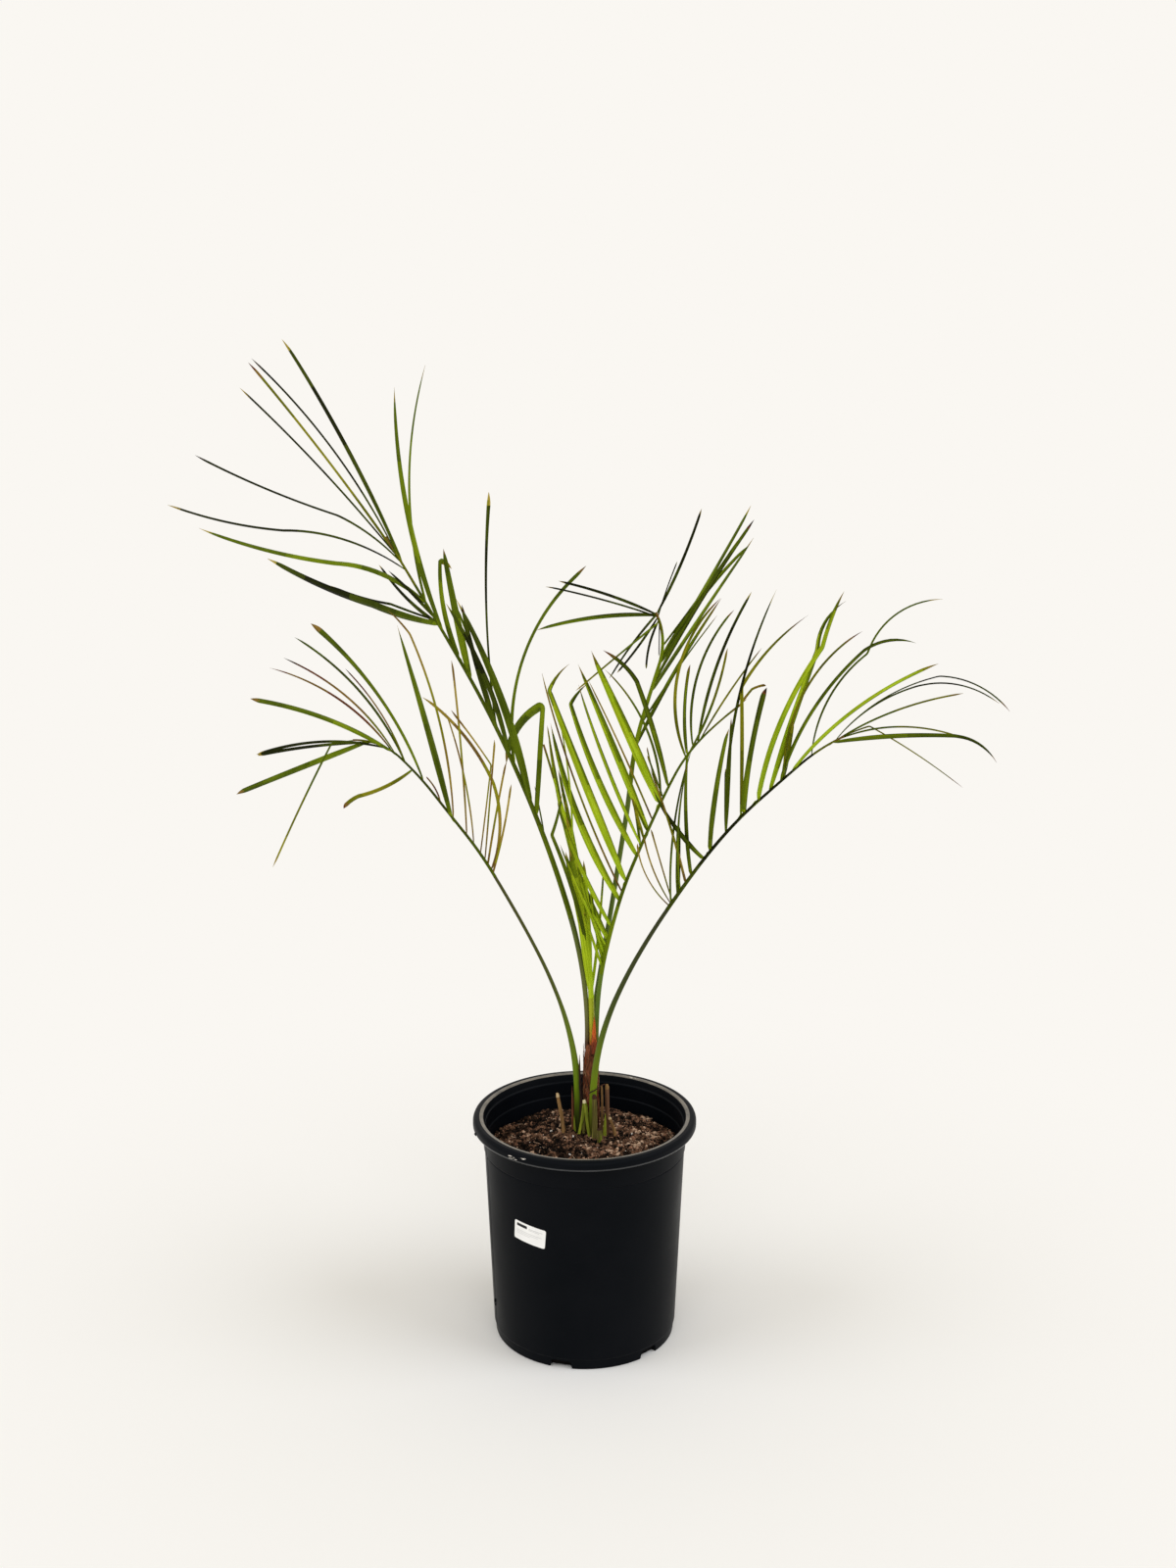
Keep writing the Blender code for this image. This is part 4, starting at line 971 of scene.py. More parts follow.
def build_soil(looks):
    """The potting mix: a filled body with a rough top, crumbs, chips and pale flecks."""
    chance = random.Random(SEED + 5)
    bed = Gather()
    sides = 220
    turns = [2 * math.pi * side / sides for side in range(sides)]
    low = [(0.0008, FLOOR + 0.0005), (FOOT_RADIUS - WALL - 0.0040, FLOOR + 0.0005)]
    low += [(inner_radius(height) - 0.0005, height) for height in (0.0145, 0.09, 0.16, SOIL_EDGE - 0.006)]
    rings = [
        [Vector((radius * math.cos(turn), radius * math.sin(turn), height)) for turn in turns]
        for radius, height in low
    ]
    edge = inner_radius(SOIL_EDGE) - 0.0005
    # The buried sides and floor of the mix take the near-black finish, a painted shade where they show through the
    # drain notches.
    finishes = [1] * len(low)
    for step in range(74):
        radius = edge * (1 - step / 73) + 0.0004
        ring = []
        hollow_shade = []
        for turn in turns:
            x, y = radius * math.cos(turn), radius * math.sin(turn)
            ring.append(Vector((x, y, bed_height(x, y))))
            # Faces where the painted light is lowest take the near-black finish as painted shade in the hollows.
            hollow_shade.append(1 if soil_painted_light(x, y) < -0.10 else 0)
        rings.append(ring)
        finishes.append(hollow_shade)
    bed.loft(rings, finishes)
    settle(bed.build("mix_bed", [looks["mix_bed"], looks["mix_under"]], 180), "soil", "soil")
    golden = (1 + math.sqrt(5)) / 2
    corners = [
        Vector(corner).normalized() for corner in (
            (-1, golden, 0), (1, golden, 0), (-1, -golden, 0), (1, -golden, 0),
            (0, -1, golden), (0, 1, golden), (0, -1, -golden), (0, 1, -golden),
            (golden, 0, -1), (golden, 0, 1), (-golden, 0, -1), (-golden, 0, 1),
        )
    ]
    facets = (
        (0, 11, 5), (0, 5, 1), (0, 1, 7), (0, 7, 10), (0, 10, 11), (1, 5, 9), (5, 11, 4),
        (11, 10, 2), (10, 7, 6), (7, 1, 8), (3, 9, 4), (3, 4, 2), (3, 2, 6), (3, 6, 8),
        (3, 8, 9), (4, 9, 5), (2, 4, 11), (6, 2, 10), (8, 6, 7), (9, 8, 1),
    )

    eight = [Vector(corner) for corner in (
        (1, 0, 0), (0, 1, 0), (-1, 0, 0), (0, -1, 0), (0, 0, 1), (0, 0, -1),
    )]
    eight_facets = (
        (0, 1, 4), (1, 2, 4), (2, 3, 4), (3, 0, 4), (1, 0, 5), (2, 1, 5), (3, 2, 5), (0, 3, 5),
    )

    def scatter(mesh, count, smallest, largest, shades, sink, flat=0.75, solid=(corners, facets)):
        """Lumps over the bed; the painted light and shade at a place picks from shades that run from dark to light.
        """
        for _ in range(count):
            radius = 0.1105 * math.sqrt(chance.random())
            turn = chance.uniform(0, 2 * math.pi)
            x, y = radius * math.cos(turn), radius * math.sin(turn)
            size = smallest + (largest - smallest) * chance.random() ** 2.6
            centre = Vector((x, y, bed_height(x, y) + size * sink))
            spin = Matrix.Rotation(chance.uniform(0, 6.28), 3, "Z")
            spin = spin @ Matrix.Rotation(chance.uniform(0, 6.28), 3, "X")
            long = chance.uniform(0.8, 1.5)
            points = []
            for corner in solid[0]:
                rough = corner * size * chance.uniform(0.72, 1.18)
                rough = Vector((rough.x * long, rough.y, rough.z * flat))
                points.append(centre + spin @ rough)
            # Crumbs take darker finishes in painted shade and lighter ones in painted light, with a random spread.
            light = min(max(0.5 + 0.5 * soil_painted_light(x, y) + chance.gauss(0, 0.20), 0.0), 0.999)
            mesh.lump(points, solid[1], shades[int(light * len(shades))])

    crumbs = Gather()
    crumb_looks = [looks[name] for name in ("mix_black", "mix_dark", "mix", "mix_warm", "mix_tan")]
    scatter(crumbs, CRUMBS, 0.0005, 0.0030, (0, 0, 1, 1, 2, 2, 3, 4), 0.2)
    settle(crumbs.build("mix_crumbs", crumb_looks, 60), "soil", "soil")
    grains = Gather()
    scatter(grains, GRAINS, 0.0003, 0.0011, (0, 1, 1, 2, 3, 3, 4), 0.5, 0.8, (eight, eight_facets))
    settle(grains.build("mix_grains", crumb_looks, 30), "soil", "soil")
    flecks = Gather()
    scatter(flecks, FLECKS, 0.0005, 0.0018, (0, 0, 1), 0.5)
    settle(flecks.build("mix_flecks", [looks["fleck"], looks["fleck_warm"]], 60), "soil", "soil")
    chips = Gather()
    for _ in range(CHIPS):
        radius = 0.108 * math.sqrt(chance.random())
        turn = chance.uniform(0, 2 * math.pi)
        x, y = radius * math.cos(turn), radius * math.sin(turn)
        heading = chance.uniform(0, 2 * math.pi)
        length = chance.uniform(0.003, 0.010)
        way = Vector((math.cos(heading), math.sin(heading), chance.uniform(-0.15, 0.35))).normalized()
        centre = Vector((x, y, bed_height(x, y) + 0.0007))
        ends = [centre - way * length / 2, centre + way * length / 2]
        if max(math.hypot(end.x, end.y) for end in ends) > 0.1105:
            continue
        line = [ends[0].lerp(ends[1], step / 3) for step in range(4)]
        line[1] += Vector((0, 0, chance.uniform(-0.0006, 0.0006)))
        thick = chance.uniform(0.00025, 0.0008)
        add_rod(
            chips, line, lambda t, s=thick: s * (1 - 0.6 * abs(2 * t - 1)),
            Vector((-way.y, way.x, 0)), 5, chance.choice((0, 1, 1, 2)),
        )
    settle(
        chips.build("mix_chips", [looks["mix_dark"], looks["mix_tan"], looks["mix_warm"]], 60), "soil", "soil",
    )


def wall_patch(mesh, start, end, low, high, proud, corner, shade):
    """A thin patch with rounded corners that follows the wall, in the label's own tilted axes."""
    tilt = math.radians(LABEL_TILT)

    def place(along, rise, out):
        height = LABEL_CENTRE + along * math.sin(tilt) + rise * math.cos(tilt)
        across = along * math.cos(tilt) - rise * math.sin(tilt)
        turn = math.radians(LABEL_ANGLE) + across / wall_radius(LABEL_CENTRE)
        reach = wall_radius(height) + out
        return Vector((reach * math.cos(turn), reach * math.sin(turn), height))

    spans = sorted(
        {start + (end - start) * step / 18 for step in range(19)}
        | {start + corner * share for share in (0.15, 0.4, 0.7)}
        | {end - corner * share for share in (0.15, 0.4, 0.7)}
    )
    rings = []
    for along in spans:
        near = min(along - start, end - along)
        inset = corner - math.sqrt(max(corner ** 2 - (corner - near) ** 2, 0.0)) if near < corner else 0.0
        bottom, top = low + inset, high - inset
        rings.append([
            place(along, bottom, proud[0]), place(along, bottom, proud[1]),
            place(along, top, proud[1]), place(along, top, proud[0]),
        ])
    mesh.loft(rings, shade)


def build_label(looks):
    """A plain stuck-on label with a dark bar and a few pale rules in place of any wording."""
    half, top = 0.5 * LABEL_WIDTH, 0.5 * LABEL_HEIGHT
    label = Gather()
    wall_patch(label, -half, half, -top, top, (0.00015, 0.00045), 0.0022, 0)
    settle(label.build("label_sheet", [looks["label"]], 30), "label", "label")
    marks = Gather()
    wall_patch(marks, -half + 0.0035, -half + 0.0180, top - 0.0062, top - 0.0026, (0.00040, 0.00050), 0.0004, 0)
    for start, end, low, size in (
        (0.0205, 0.0385, 0.0046, 0.0007), (0.0205, 0.0345, 0.0062, 0.0006),
        (0.0035, 0.0380, 0.0110, 0.0005), (0.0035, 0.0330, 0.0130, 0.0005), (0.0035, 0.0230, 0.0150, 0.0005),
    ):
        wall_patch(
            marks, -half + start, -half + end, top - low - size, top - low, (0.00040, 0.00048), 0.0002, 1,
        )
    settle(marks.build("label_marks", [looks["bar"], looks["rule"]], 30), "label", "label")


def build_stem(looks):
    """The short stem: a fibrous column wrapped in old leaf bases, with loose threads."""
    chance = random.Random(SEED + 9)
    column = Gather()
    rings = []
    rows, sides = 110, 72
    for row in range(rows + 1):
        t = row / rows
        height = SOIL_TOP - BURIED + (STEM_TOP - SOIL_TOP + BURIED) * t
        base = STEM_FOOT_RADIUS + (STEM_TOP_RADIUS - STEM_FOOT_RADIUS) * t
        ring = []
        for side in range(sides):
            turn = 2 * math.pi * side / sides
            step = (turn / (2 * math.pi) * 2 + t * 5.0) % 1.0
            grain = noise.fractal(Vector((math.cos(turn) * 6, math.sin(turn) * 6, t * 2.4)), 1.0, 2.0, 4)
            radius = base * (0.88 + 0.10 * step ** 1.5 + 0.09 * grain)
            radius *= 1.0 - 0.30 * max(t - 0.80, 0.0) / 0.20 - 0.2 * max(t - 0.965, 0.0) / 0.035
            ring.append(Vector((
                STEM_CENTRE[0] + radius * math.cos(turn), STEM_CENTRE[1] + radius * math.sin(turn), height,
            )))
        rings.append(ring)
    column.loft(rings, 0)
    settle(column.build("stem_column", [looks["fibre"]], 70), "stem", "stem")
    threads = Gather()
    for _ in range(260):
        start = chance.uniform(0.0, 0.82)
        span = chance.uniform(0.08, 0.28)
        turn = chance.uniform(0, 2 * math.pi)
        drift = chance.choice((-1, 1)) * chance.uniform(0.2, 1.3)
        line = []
        for step in range(9):
            t = start + span * step / 8
            if t > 1.02:
                break
            angle = turn + drift * step / 8 + 0.06 * math.sin(step * 1.7 + turn)
            base = STEM_FOOT_RADIUS + (STEM_TOP_RADIUS - STEM_FOOT_RADIUS) * t
            radius = base * 0.99 + 0.0004 * math.sin(step * 1.1 + turn * 3)
            line.append(Vector((
                STEM_CENTRE[0] + radius * math.cos(angle), STEM_CENTRE[1] + radius * math.sin(angle),
                SOIL_TOP + (STEM_TOP - SOIL_TOP) * t,
            )))
        if len(line) < 4:
            continue
        thick = chance.uniform(0.00014, 0.0004)
        add_rod(
            threads, line, lambda t, s=thick: s * (1 - 0.7 * t), Vector((0.3, 0.2, 0.93)), 5,
            chance.choice((0, 0, 1, 2, 3)),
        )
    finishes = [looks[name] for name in ("fibre", "fibre_dark", "fibre_light", "red_dark")]
    settle(threads.build("stem_threads", finishes, 60), "stem", "stem")


def build_sheath(looks):
    """The reddish papery sheath in front of the youngest leaves, split at its tip."""
    sheath = Gather()
    base = Vector((*SHEATH_CENTRE, STEM_TOP - 0.008))
    height = SHEATH_HEIGHT + 0.008
    for shift, turn, tall, wide in (
        (0.0, 0.0, 1.0, 1.0), (0.0020, 0.5, 0.80, 0.7), (-0.0018, -0.4, 0.92, 0.45), (0.0006, 0.1, 0.62, 1.2),
    ):
        rings = []
        for step in range(25):
            t = step / 24
            half = 0.5 * SHEATH_WIDTH * wide * max(1 - t ** 2.4, 0.02)
            middle = base + Vector((shift * (1 - t) + 0.0008 * t, -0.0012 * t, height * tall * t))
            along = Vector((math.cos(turn), math.sin(turn), 0))
            proud = Vector((math.sin(turn), -math.cos(turn), 0))
            ring = []
            for part in range(9):
                a = part / 4 - 1
                bow = 0.0009 * (1 - a * a) * (1 - 0.5 * t) + 0.00016 * math.sin(9 * a + 14 * t)
                ring.append(middle + along * half * a + proud * bow)
            back = [point - proud * 0.0003 for point in reversed(ring[1:-1])]
            rings.append(ring + back)
        sheath.loft(rings, [0 if step < 12 else 1 for step in range(25)])
    settle(sheath.build("sheath_scales", [looks["red_dark"], looks["red"]], 60), "sheath", "sheath")
    frayed = Gather()
    chance = random.Random(SEED + 3)
    for _ in range(34):
        x = SHEATH_CENTRE[0] + chance.uniform(-0.006, 0.004)
        y = SHEATH_CENTRE[1] + chance.uniform(-0.0006, 0.0016)
        start = Vector((x, y, STEM_TOP - chance.uniform(0.002, 0.024)))
        way = Vector((chance.uniform(-0.22, 0.22), chance.uniform(-0.14, 0.02), 1.0)).normalized()
        length = chance.uniform(0.006, 0.020)
        line = [
            start + way * length * step / 5 + Vector((0.0004 * math.sin(step * 1.4 + x * 9000), 0, 0))
            for step in range(6)
        ]
        add_rod(frayed, line, lambda t: 0.00026 * (1 - 0.8 * t), Vector((0, 1, 0)), 5, chance.choice((0, 1)))
    settle(frayed.build("sheath_threads", [looks["red_dark"], looks["fibre_dark"]], 60), "sheath", "sheath")


@dataclass
class Stub:
    """The foot of an old leaf that was cut off: where it stands, how tall and thick, and its section."""

    name: str
    place: tuple
    height: float
    radius: float
    lean: tuple
    finish: str
    end: str
    grooves: int = 1


STUBS = (
    Stub("stub_left", (-0.0236, 0.0105), 0.0500, 0.0024, (-0.0084, 0.0), "tan", "cut"),
    Stub("stub_striped", (0.0112, -0.0071), 0.0560, 0.0031, (0.0, 0.0), "olive", "dark", 3),
    Stub("stub_thin", (0.0198, 0.0125), 0.0590, 0.0015, (0.0, 0.0), "tan", "tan"),
    Stub("stub_right", (0.0252, 0.0062), 0.0630, 0.0028, (0.0008, 0.0), "bark", "tan", 3),
    Stub("stub_slant", (0.0370, 0.0030), 0.0230, 0.0022, (-0.0080, 0.0), "tan", "cut"),
    Stub("stub_low", (0.0172, -0.0135), 0.0165, 0.0034, (0.0, 0.0), "olive", "dark", 2),
)


def build_stub(stub, looks):
    """One cut leaf base: grooved, slightly bowed and rough at its cut."""
    chance = random.Random(SEED + int(stub.place[0] * 1e5))
    mesh = Gather()
    foot = Vector((*stub.place, SOIL_TOP - 0.005))
    top = Vector((*stub.place, SOIL_TOP)) + Vector((*stub.lean, stub.height))
    line = []
    for step in range(25):
        t = step / 24
        bow = 0.0007 * math.sin(math.pi * t)
        line.append(foot.lerp(top, t) + Vector((bow, -bow * 0.5, 0)))

    def shape(turn, t):
        cut = 0.0
        for groove in range(stub.grooves):
            centre = -math.pi / 2 + (groove - (stub.grooves - 1) / 2) * 0.75
            off = (turn - centre + math.pi) % (2 * math.pi) - math.pi
            cut += 0.30 * math.exp(-((off / 0.24) ** 2))
        grain = 0.05 * noise.noise(Vector((math.cos(turn) * 5, math.sin(turn) * 5, t * 2.5)))
        return 1 - cut + grain

    def radius_at(t):
        flare = 1 + 0.14 * max(1 - t / 0.2, 0.0)
        return stub.radius * flare * (1 - 0.16 * t) * (1 - 0.45 * max(t - 0.96, 0) / 0.04)

    shades = [0 if step < 22 else 1 for step in range(25)]
    add_rod(mesh, line, radius_at, Vector((1, 0, 0)), 26, shades, shape)
    for _ in range(12):
        turn = chance.uniform(0, 6.28)
        edge = Vector((math.cos(turn), math.sin(turn), 0)) * stub.radius * chance.uniform(0.3, 0.8)
        start = top + edge * 0.9 - Vector((0, 0, 0.002))
        end = start + Vector((chance.uniform(-0.0004, 0.0004), 0, chance.uniform(0.0016, 0.0030)))
        add_rod(
            mesh, [start, start.lerp(end, 0.5), end], lambda t: 0.00035 * (1 - 0.7 * t),
            Vector((1, 0, 0)), 5, 1,
        )
    settle(mesh.build(stub.name, [looks[stub.finish], looks[stub.end]], 60), "stub", stub.name)


def build_cream_stub(looks):
    """The pale cut base in the middle: a wedge on two spread ridges."""
    mesh = Gather()
    x, y = 0.0006, 0.0035
    top = SOIL_TOP + 0.0445
    fork = top - 0.0075
    for foot_x, foot_y, shade in ((-0.0082, 0.0005, 0), (0.0064, -0.0030, 0), (-0.0012, 0.0052, 2)):
        foot = Vector((foot_x, foot_y, SOIL_TOP - 0.005))
        peak = Vector((x + foot_x * 0.12, y + (foot_y - y) * 0.25, fork + 0.0015))
        line = []
        for step in range(21):
            t = step / 20
            bow = Vector((-foot_x * 0.25, 0, 0)) * math.sin(math.pi * t) * 0.6
            line.append(foot.lerp(peak, t) + bow * 0.6)
        add_rod(
            mesh, line, lambda t: 0.0016 + 0.0006 * t, Vector((1, 0, 0)), 16, shade,
            lambda turn, t: 1 - 0.22 * math.exp(-(((turn - 4.71) / 0.4) ** 2)),
        )
    line = [Vector((x - 0.0012 * step / 10, y - 0.0004, fork + (top - fork) * step / 10)) for step in range(11)]
    add_rod(
        mesh, line, lambda t: 0.0030 - 0.0010 * t, Vector((1, 0, 0)), 20,
        [0 if step < 6 else 1 for step in range(11)],
        lambda turn, t: 1 - 0.25 * abs(math.cos(turn)) ** 8 * t + 0.08 * math.sin(3 * turn + 5 * t),
    )
    made = mesh.build("stub_cream", [looks["stub_green"], looks["cream"], looks["olive"]], 60)
    settle(made, "stub", "stub_cream")


def add_scale(mesh, foot, top, width, facing, shade, curl=0.4):
    """A thin pointed scale that stands on the mix, curled across its width."""
    face = Vector((math.cos(facing), math.sin(facing), 0))
    along = Vector((-face.y, face.x, 0))
    rings = []
    for step in range(17):
        t = step / 16
        middle = foot.lerp(top, t) + face * 0.0006 * math.sin(math.pi * t)
        half = 0.5 * width * max(1 - t ** 3, 0.03) * (0.9 + 0.1 * math.cos(5 * t))
        front = [
            middle + along * half * a - face * half * curl * a * a for a in (-1, -0.6, -0.2, 0.2, 0.6, 1)
        ]
        back = [point - face * 0.00045 for point in reversed(front)]
        rings.append(front + back)
    mesh.loft(rings, shade)


def build_foot(looks):
    """The dark bract, brown scales at the stalks' feet, a short green shoot and a fallen twig."""
    bract = Gather()
    line = []
    for step in range(31):
        t = step / 30
        line.append(Vector((
            -0.0035 - 0.0020 * t + 0.0006 * math.sin(6 * t), 0.0068 + 0.0005 * math.sin(4 * t),
            SOIL_TOP - 0.004 + 0.104 * t,
        )))
    add_rod(
        bract, line, lambda t: 0.0019 * (1 - t ** 2.2) + 0.0002, Vector((1, 0, 0)), 14, 0,
        lambda turn, t: 1 + 0.25 * math.sin(2 * turn + 9 * t) + 0.12 * math.sin(23 * t),
    )
    for height, length, side in ((0.062, 0.006, 1), (0.071, 0.0045, 1), (0.052, 0.003, -1), (0.040, 0.004, 1)):
        start = Vector((-0.0045, 0.0062, SOIL_TOP + height))
        hook = [
            start + Vector((side * length * 0.55 * step / 5, -0.0006, length * (step / 5) ** 0.7))
            for step in range(6)
        ]
        add_rod(bract, hook, lambda t: 0.0006 * (1 - 0.8 * t), Vector((0, 1, 0)), 6, 1)
    settle(bract.build("bract", [looks["dark"], looks["fibre_dark"]], 60), "stub", "bract")
    scales = Gather()
    low = SOIL_TOP - 0.004
    for x, y, dx, height, width, facing, shade in (
        (-0.0140, 0.0140, -0.0006, 0.062, 0.0030, -1.9, 0), (-0.0125, 0.0185, 0.0004, 0.048, 0.0050, 2.4, 0),
        (-0.0060, 0.0185, 0.0010, 0.058, 0.0050, 1.2, 1), (0.0165, 0.0080, 0.0006, 0.050, 0.0042, 0.4, 0),
        (0.0150, 0.0235, 0.0016, 0.056, 0.0060, 0.9, 1), (0.0015, 0.0270, 0.0004, 0.064, 0.0064, 1.7, 1),
        (0.0080, 0.0020, 0.0010, 0.030, 0.0040, -1.7, 2), (0.0232, -0.0005, 0.0010, 0.034, 0.0046, -1.5, 3),
        (0.0185, -0.0165, 0.0003, 0.0145, 0.0036, -1.6, 3), (-0.0108, 0.0095, -0.0016, 0.026, 0.0034, -1.8, 3),
        (-0.0052, 0.0090, 0.0006, 0.021, 0.0030, -1.3, 2),
    ):
        add_scale(
            scales, Vector((x, y, low)), Vector((x + dx, y, low + height)), width, facing, shade,
        )
    finishes = [looks["fibre"], looks["fibre_dark"], looks["olive"], looks["stub_green"]]
    settle(scales.build("foot_scales", finishes, 60), "stub")
    twig = Gather()
    ends = Vector((0.0040, -0.0046, 0.2990)), Vector((0.0236, -0.0030, 0.3116))
    line = [
        ends[0].lerp(ends[1], step / 12) + Vector((0, 0, 0.0005 * math.sin(step * 0.9))) for step in range(13)
    ]
    add_rod(twig, line, lambda t: 0.0009 * (1 - 0.35 * t), Vector((0, 1, 0)), 8, 0)
    settle(twig.build("fallen_twig", [looks["dark"]], 60), "stub")


def stalk_surface(name, bands, gloss=0.2):
    """A stalk's material: its colour changes with height, under fine streaks along the stalk."""
    made = surface(name, (bands[0][1], bands[-1][1]), 60, 0.42, 0.0003, (1, 1, 0.08), gloss)
    nodes = made.node_tree.nodes
    link = made.node_tree.links.new
    where = next(node for node in nodes if node.type == "TEX_COORD")
    cloud = next(node for node in nodes if node.type == "TEX_NOISE")
    ramp = next(node for node in nodes if node.type == "VALTORGB")
    split = nodes.new("ShaderNodeSeparateXYZ")
    link(where.outputs["Object"], split.inputs["Vector"])
    rise = nodes.new("ShaderNodeMapRange")
    rise.inputs["From Min"].default_value = bands[0][0]
    rise.inputs["From Max"].default_value = bands[-1][0]
    link(split.outputs["Z"], rise.inputs["Value"])
    sway = nodes.new("ShaderNodeMath")
    sway.operation = "MULTIPLY_ADD"
    sway.inputs[1].default_value = 0.22
    link(cloud.outputs["Fac"], sway.inputs[0])
    link(rise.outputs["Result"], sway.inputs[2])
    stops = ramp.color_ramp.elements
    span = bands[-1][0] - bands[0][0]
    for index, (height, shade) in enumerate(bands):
        place = min(max((height - bands[0][0]) / span + 0.11, 0.0), 1.0)
        stop = stops[index] if index < 2 else stops.new(place)
        stop.position = place
        stop.color = (*linear(shade), 1.0)
    link(sway.outputs["Value"], ramp.inputs["Fac"])
    return made


STALK_BANDS = {
    "low_left": (
        (0.243, (30, 36, 12)), (0.262, (58, 72, 14)), (0.30, (106, 132, 18)),
        (0.36, (96, 116, 18)), (0.42, (70, 78, 16)), (0.56, (64, 66, 18)),
    ),
    "low_right": (
        (0.243, (50, 44, 20)), (0.262, (76, 78, 20)), (0.30, (110, 132, 22)),
        (0.36, (84, 102, 18)), (0.42, (56, 66, 16)), (0.56, (44, 48, 14)),
    ),
    "tall_left": (
        (0.352, (80, 56, 36)), (0.362, (98, 88, 50)), (0.39, (104, 106, 54)),
        (0.44, (92, 100, 36)), (0.52, (74, 88, 22)),
    ),
    "spear": (
        (0.352, (160, 84, 26)), (0.362, (176, 140, 34)), (0.38, (170, 174, 36)),
        (0.44, (150, 166, 24)), (0.50, (128, 150, 18)),
    ),
    "fan": (
        (0.352, (110, 70, 34)), (0.364, (92, 104, 30)), (0.39, (72, 98, 22)),
        (0.44, (88, 112, 22)), (0.50, (96, 118, 20)),
    ),
    "tall_right": (
        (0.352, (90, 66, 34)), (0.364, (88, 96, 34)), (0.42, (76, 96, 26)),
        (0.52, (80, 98, 26)), (0.70, (84, 102, 28)),
    ),
}


def build_stage():
    """A wide pale floor that fades into the pale surroundings, soft lights and the camera."""
    pale = linear((250, 247, 242))
    turns = [2 * math.pi * side / 96 for side in range(96)]
    mesh = bpy.data.meshes.new("floor")
    mesh.from_pydata([(16 * math.cos(turn), 16 * math.sin(turn), 0) for turn in turns], [], [tuple(range(96))])
    floor = bpy.data.objects.new("floor", mesh)
    bpy.context.scene.collection.objects.link(floor)
    ground = bpy.data.materials.new("pale_floor")
    ground.use_nodes = True
    nodes = ground.node_tree.nodes
    link = ground.node_tree.links.new
    shader = nodes["Principled BSDF"]
    shader.inputs["Base Color"].default_value = (0.885, 0.882, 0.866, 1.0)
    shader.inputs["Roughness"].default_value = 0.9
    shader.inputs["Specular IOR Level"].default_value = 0.05
    glow = nodes.new("ShaderNodeEmission")
    glow.inputs["Color"].default_value = (*pale, 1.0)
    where = nodes.new("ShaderNodeTexCoord")
    away = nodes.new("ShaderNodeVectorMath")
    away.operation = "LENGTH"
    link(where.outputs["Object"], away.inputs[0])
    fade = nodes.new("ShaderNodeMapRange")
    fade.interpolation_type = "SMOOTHSTEP"
    fade.inputs["From Min"].default_value = 0.30
    fade.inputs["From Max"].default_value = 1.10
    link(away.outputs["Value"], fade.inputs["Value"])
    mix = nodes.new("ShaderNodeMixShader")
    link(fade.outputs["Result"], mix.inputs["Fac"])
    link(shader.outputs["BSDF"], mix.inputs[1])
    link(glow.outputs["Emission"], mix.inputs[2])
    link(mix.outputs["Shader"], nodes["Material Output"].inputs["Surface"])
    mesh.materials.append(ground)
    world = bpy.data.worlds.new("studio")
    bpy.context.scene.world = world
    world.use_nodes = True
    nodes = world.node_tree.nodes
    link = world.node_tree.links.new
    shown = nodes["Background"]
    shown.inputs["Color"].default_value = (*pale, 1.0)
    soft = nodes.new("ShaderNodeBackground")
    soft.inputs["Color"].default_value = (1.0, 0.93, 0.80, 1.0)
    soft.inputs["Strength"].default_value = 0.66
    path = nodes.new("ShaderNodeLightPath")
    mix = nodes.new("ShaderNodeMixShader")
    link(path.outputs["Is Diffuse Ray"], mix.inputs["Fac"])
    link(shown.outputs["Background"], mix.inputs[1])
    link(soft.outputs["Background"], mix.inputs[2])
    link(mix.outputs["Shader"], nodes["World Output"].inputs["Surface"])
    for name, strength, spread, tilt, heading, tone in (
        ("key", 0.60, 38, 50, -76, (0.98, 1.03, 1.14)), ("fill", 0.86, 40, 51, 74, (0.98, 1.03, 1.14)),
        ("front", 0.66, 60, 58, 2, (0.98, 1.03, 1.14)),
    ):
        sun = bpy.data.lights.new(name, "SUN")
        sun.energy = strength
        sun.angle = math.radians(spread)
        sun.color = tone
        lamp = bpy.data.objects.new(name, sun)
        lamp.rotation_euler = (math.radians(tilt), 0, math.radians(heading))
        bpy.context.scene.collection.objects.link(lamp)
    lens = bpy.data.cameras.new("view")
    lens.lens = 50
    lens.sensor_width = 36
    camera = bpy.data.objects.new("view", lens)
    camera.location = (0.004, -2.336, 1.3325)
    camera.rotation_euler = (math.radians(90 - 15.8), 0, 0)
    bpy.context.scene.collection.objects.link(camera)
    bpy.context.scene.camera = camera
    bpy.context.scene.view_settings.view_transform = "Standard"


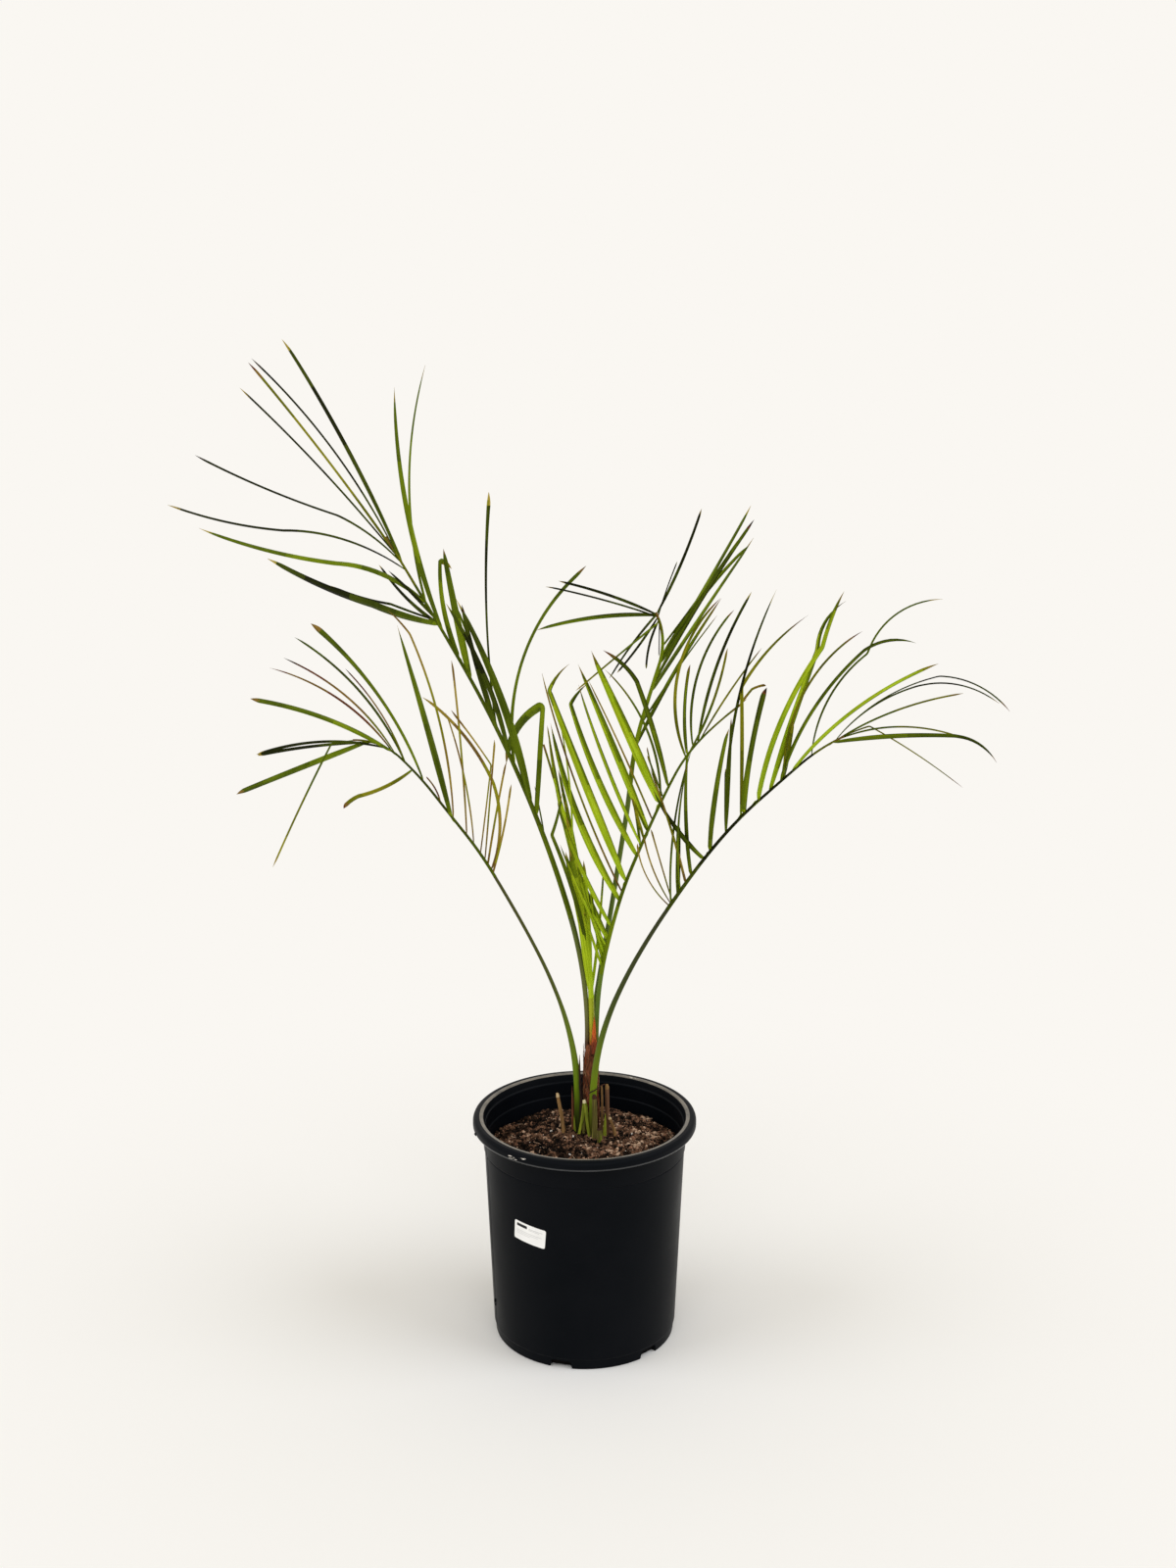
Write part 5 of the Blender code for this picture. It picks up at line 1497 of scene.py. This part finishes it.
def main():
    """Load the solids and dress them."""
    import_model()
    build_stage()
    looks = {
        "pot": surface("black_plastic", ((4, 7, 11), (10, 12, 16)), 9, 0.42, 0.00005, gloss=0.045),
        # Light taupe for the rim's inner edge: partly wear and dust, partly a painted highlight.
        "rim": surface("worn_plastic", ((84, 80, 73), (128, 121, 110)), 60, 0.34, 0.00006, gloss=0.3),
        # A lighter grey for the rim skirt's lower edge: a painted highlight.
        "lip_highlight": surface("lip_plastic", ((26, 28, 30), (48, 50, 52)), 60, 0.30, 0.00004, gloss=0.5),
        "mix": surface("mix_brown", ((60, 41, 29), (120, 88, 67)), 300, 0.95, 0.0005, gloss=0.08),
        "mix_dark": surface("mix_dark", ((22, 15, 9), (54, 38, 28)), 300, 0.95, 0.0004, gloss=0.08),
        "mix_black": surface("mix_black", ((5, 4, 3), (20, 15, 11)), 300, 0.95, 0.0004, gloss=0.05),
        # The bed under the crumbs: partly the mix's own dark brown, partly painted shade in the gaps between crumbs.
        "mix_bed": surface("mix_hollow", ((10, 6, 3), (64, 45, 33)), 220, 0.95, 0.0006, gloss=0.08),
        "mix_under": surface("mix_under", ((3, 2, 2), (14, 10, 8)), 220, 0.95, 0.0006, gloss=0.05),
        "mix_warm": surface("mix_warm", ((106, 74, 56), (160, 120, 96)), 300, 0.95, 0.0004, gloss=0.1),
        "mix_tan": surface("mix_tan", ((148, 118, 94), (202, 172, 146)), 300, 0.9, 0.0003, gloss=0.12),
        "fleck": surface("mix_fleck", ((214, 206, 194), (240, 234, 226)), 500, 0.85, 0.0002, gloss=0.2),
        "fleck_warm": surface("mix_fleck_warm", ((190, 150, 124), (222, 190, 164)), 500, 0.85, 0.0002, gloss=0.2),
        "label": surface("label_paper", ((236, 236, 234), (246, 246, 244)), 40, 0.45, 0.00003, gloss=0.4),
        "bar": surface("label_bar", ((20, 20, 22), (34, 34, 36)), 200, 0.5, 0.00001, gloss=0.3),
        "rule": surface("label_rule", ((190, 190, 190), (206, 206, 206)), 200, 0.5, 0.00001, gloss=0.3),
        "fibre": surface("fibre_brown", ((48, 26, 17), (150, 90, 58)), 210, 0.85, 0.0005, (1, 1, 0.12), 0.2),
        "fibre_dark": surface("fibre_dark", ((28, 18, 14), (66, 42, 30)), 200, 0.9, 0.0003, (1, 1, 0.2), 0.15),
        "fibre_light": surface("fibre_light", ((150, 104, 70), (196, 150, 110)), 200, 0.8, 0.0002, (1, 1, 0.2), 0.2),
        "red": surface("sheath_red", ((160, 58, 16), (206, 98, 34)), 180, 0.6, 0.0003, (1, 1, 0.15), 0.3),
        "red_dark": surface("sheath_dark", ((96, 38, 20), (164, 76, 38)), 180, 0.7, 0.0003, (1, 1, 0.15), 0.25),
        "tan": surface("stub_tan", ((82, 58, 32), (166, 128, 80)), 420, 0.8, 0.0003, (1, 1, 0.04), 0.2),
        "bark": surface("stub_bark", ((66, 42, 28), (142, 102, 72)), 420, 0.8, 0.0003, (1, 1, 0.04), 0.2),
        "olive": surface("stub_olive", ((50, 42, 16), (132, 124, 56)), 420, 0.7, 0.0003, (1, 1, 0.04), 0.25),
        "stub_green": surface("stub_green", ((86, 100, 18), (160, 166, 46)), 300, 0.55, 0.0003, (1, 1, 0.05), 0.3),
        "cream": surface("stub_cream", ((206, 190, 130), (238, 230, 188)), 240, 0.7, 0.0003, (1, 1, 0.2), 0.25),
        "cut": surface("stub_cut", ((150, 122, 84), (210, 186, 144)), 500, 0.85, 0.0003, (1, 1, 0.3), 0.2),
        "dark": surface("bract_dark", ((26, 16, 12), (74, 44, 30)), 240, 0.85, 0.0005, (1, 1, 0.1), 0.2),
    }
    build_pot([looks["pot"], looks["rim"], looks["lip_highlight"]])
    build_nubs(looks["pot"])
    build_scuffs(looks["fleck"])
    build_soil(looks)
    build_label(looks)
    build_stem(looks)
    build_sheath(looks)
    for stub in STUBS:
        build_stub(stub, looks)
    build_cream_stub(looks)
    build_foot(looks)
    leaf_looks = [
        surface(name, shades, 46, 0.55, 0.00022, (1, 1, 0.3), 0.04, 4.0) for name, shades in LEAF_SHADES
    ]
    for frond in FRONDS:
        build_leaves(frond, leaf_looks, "frond_young" if frond in (SPEAR, FAN) else "frond")
        build_petiole(frond, stalk_surface("stalk_" + frond.name, STALK_BANDS[frond.name]))
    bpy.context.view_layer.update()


main()
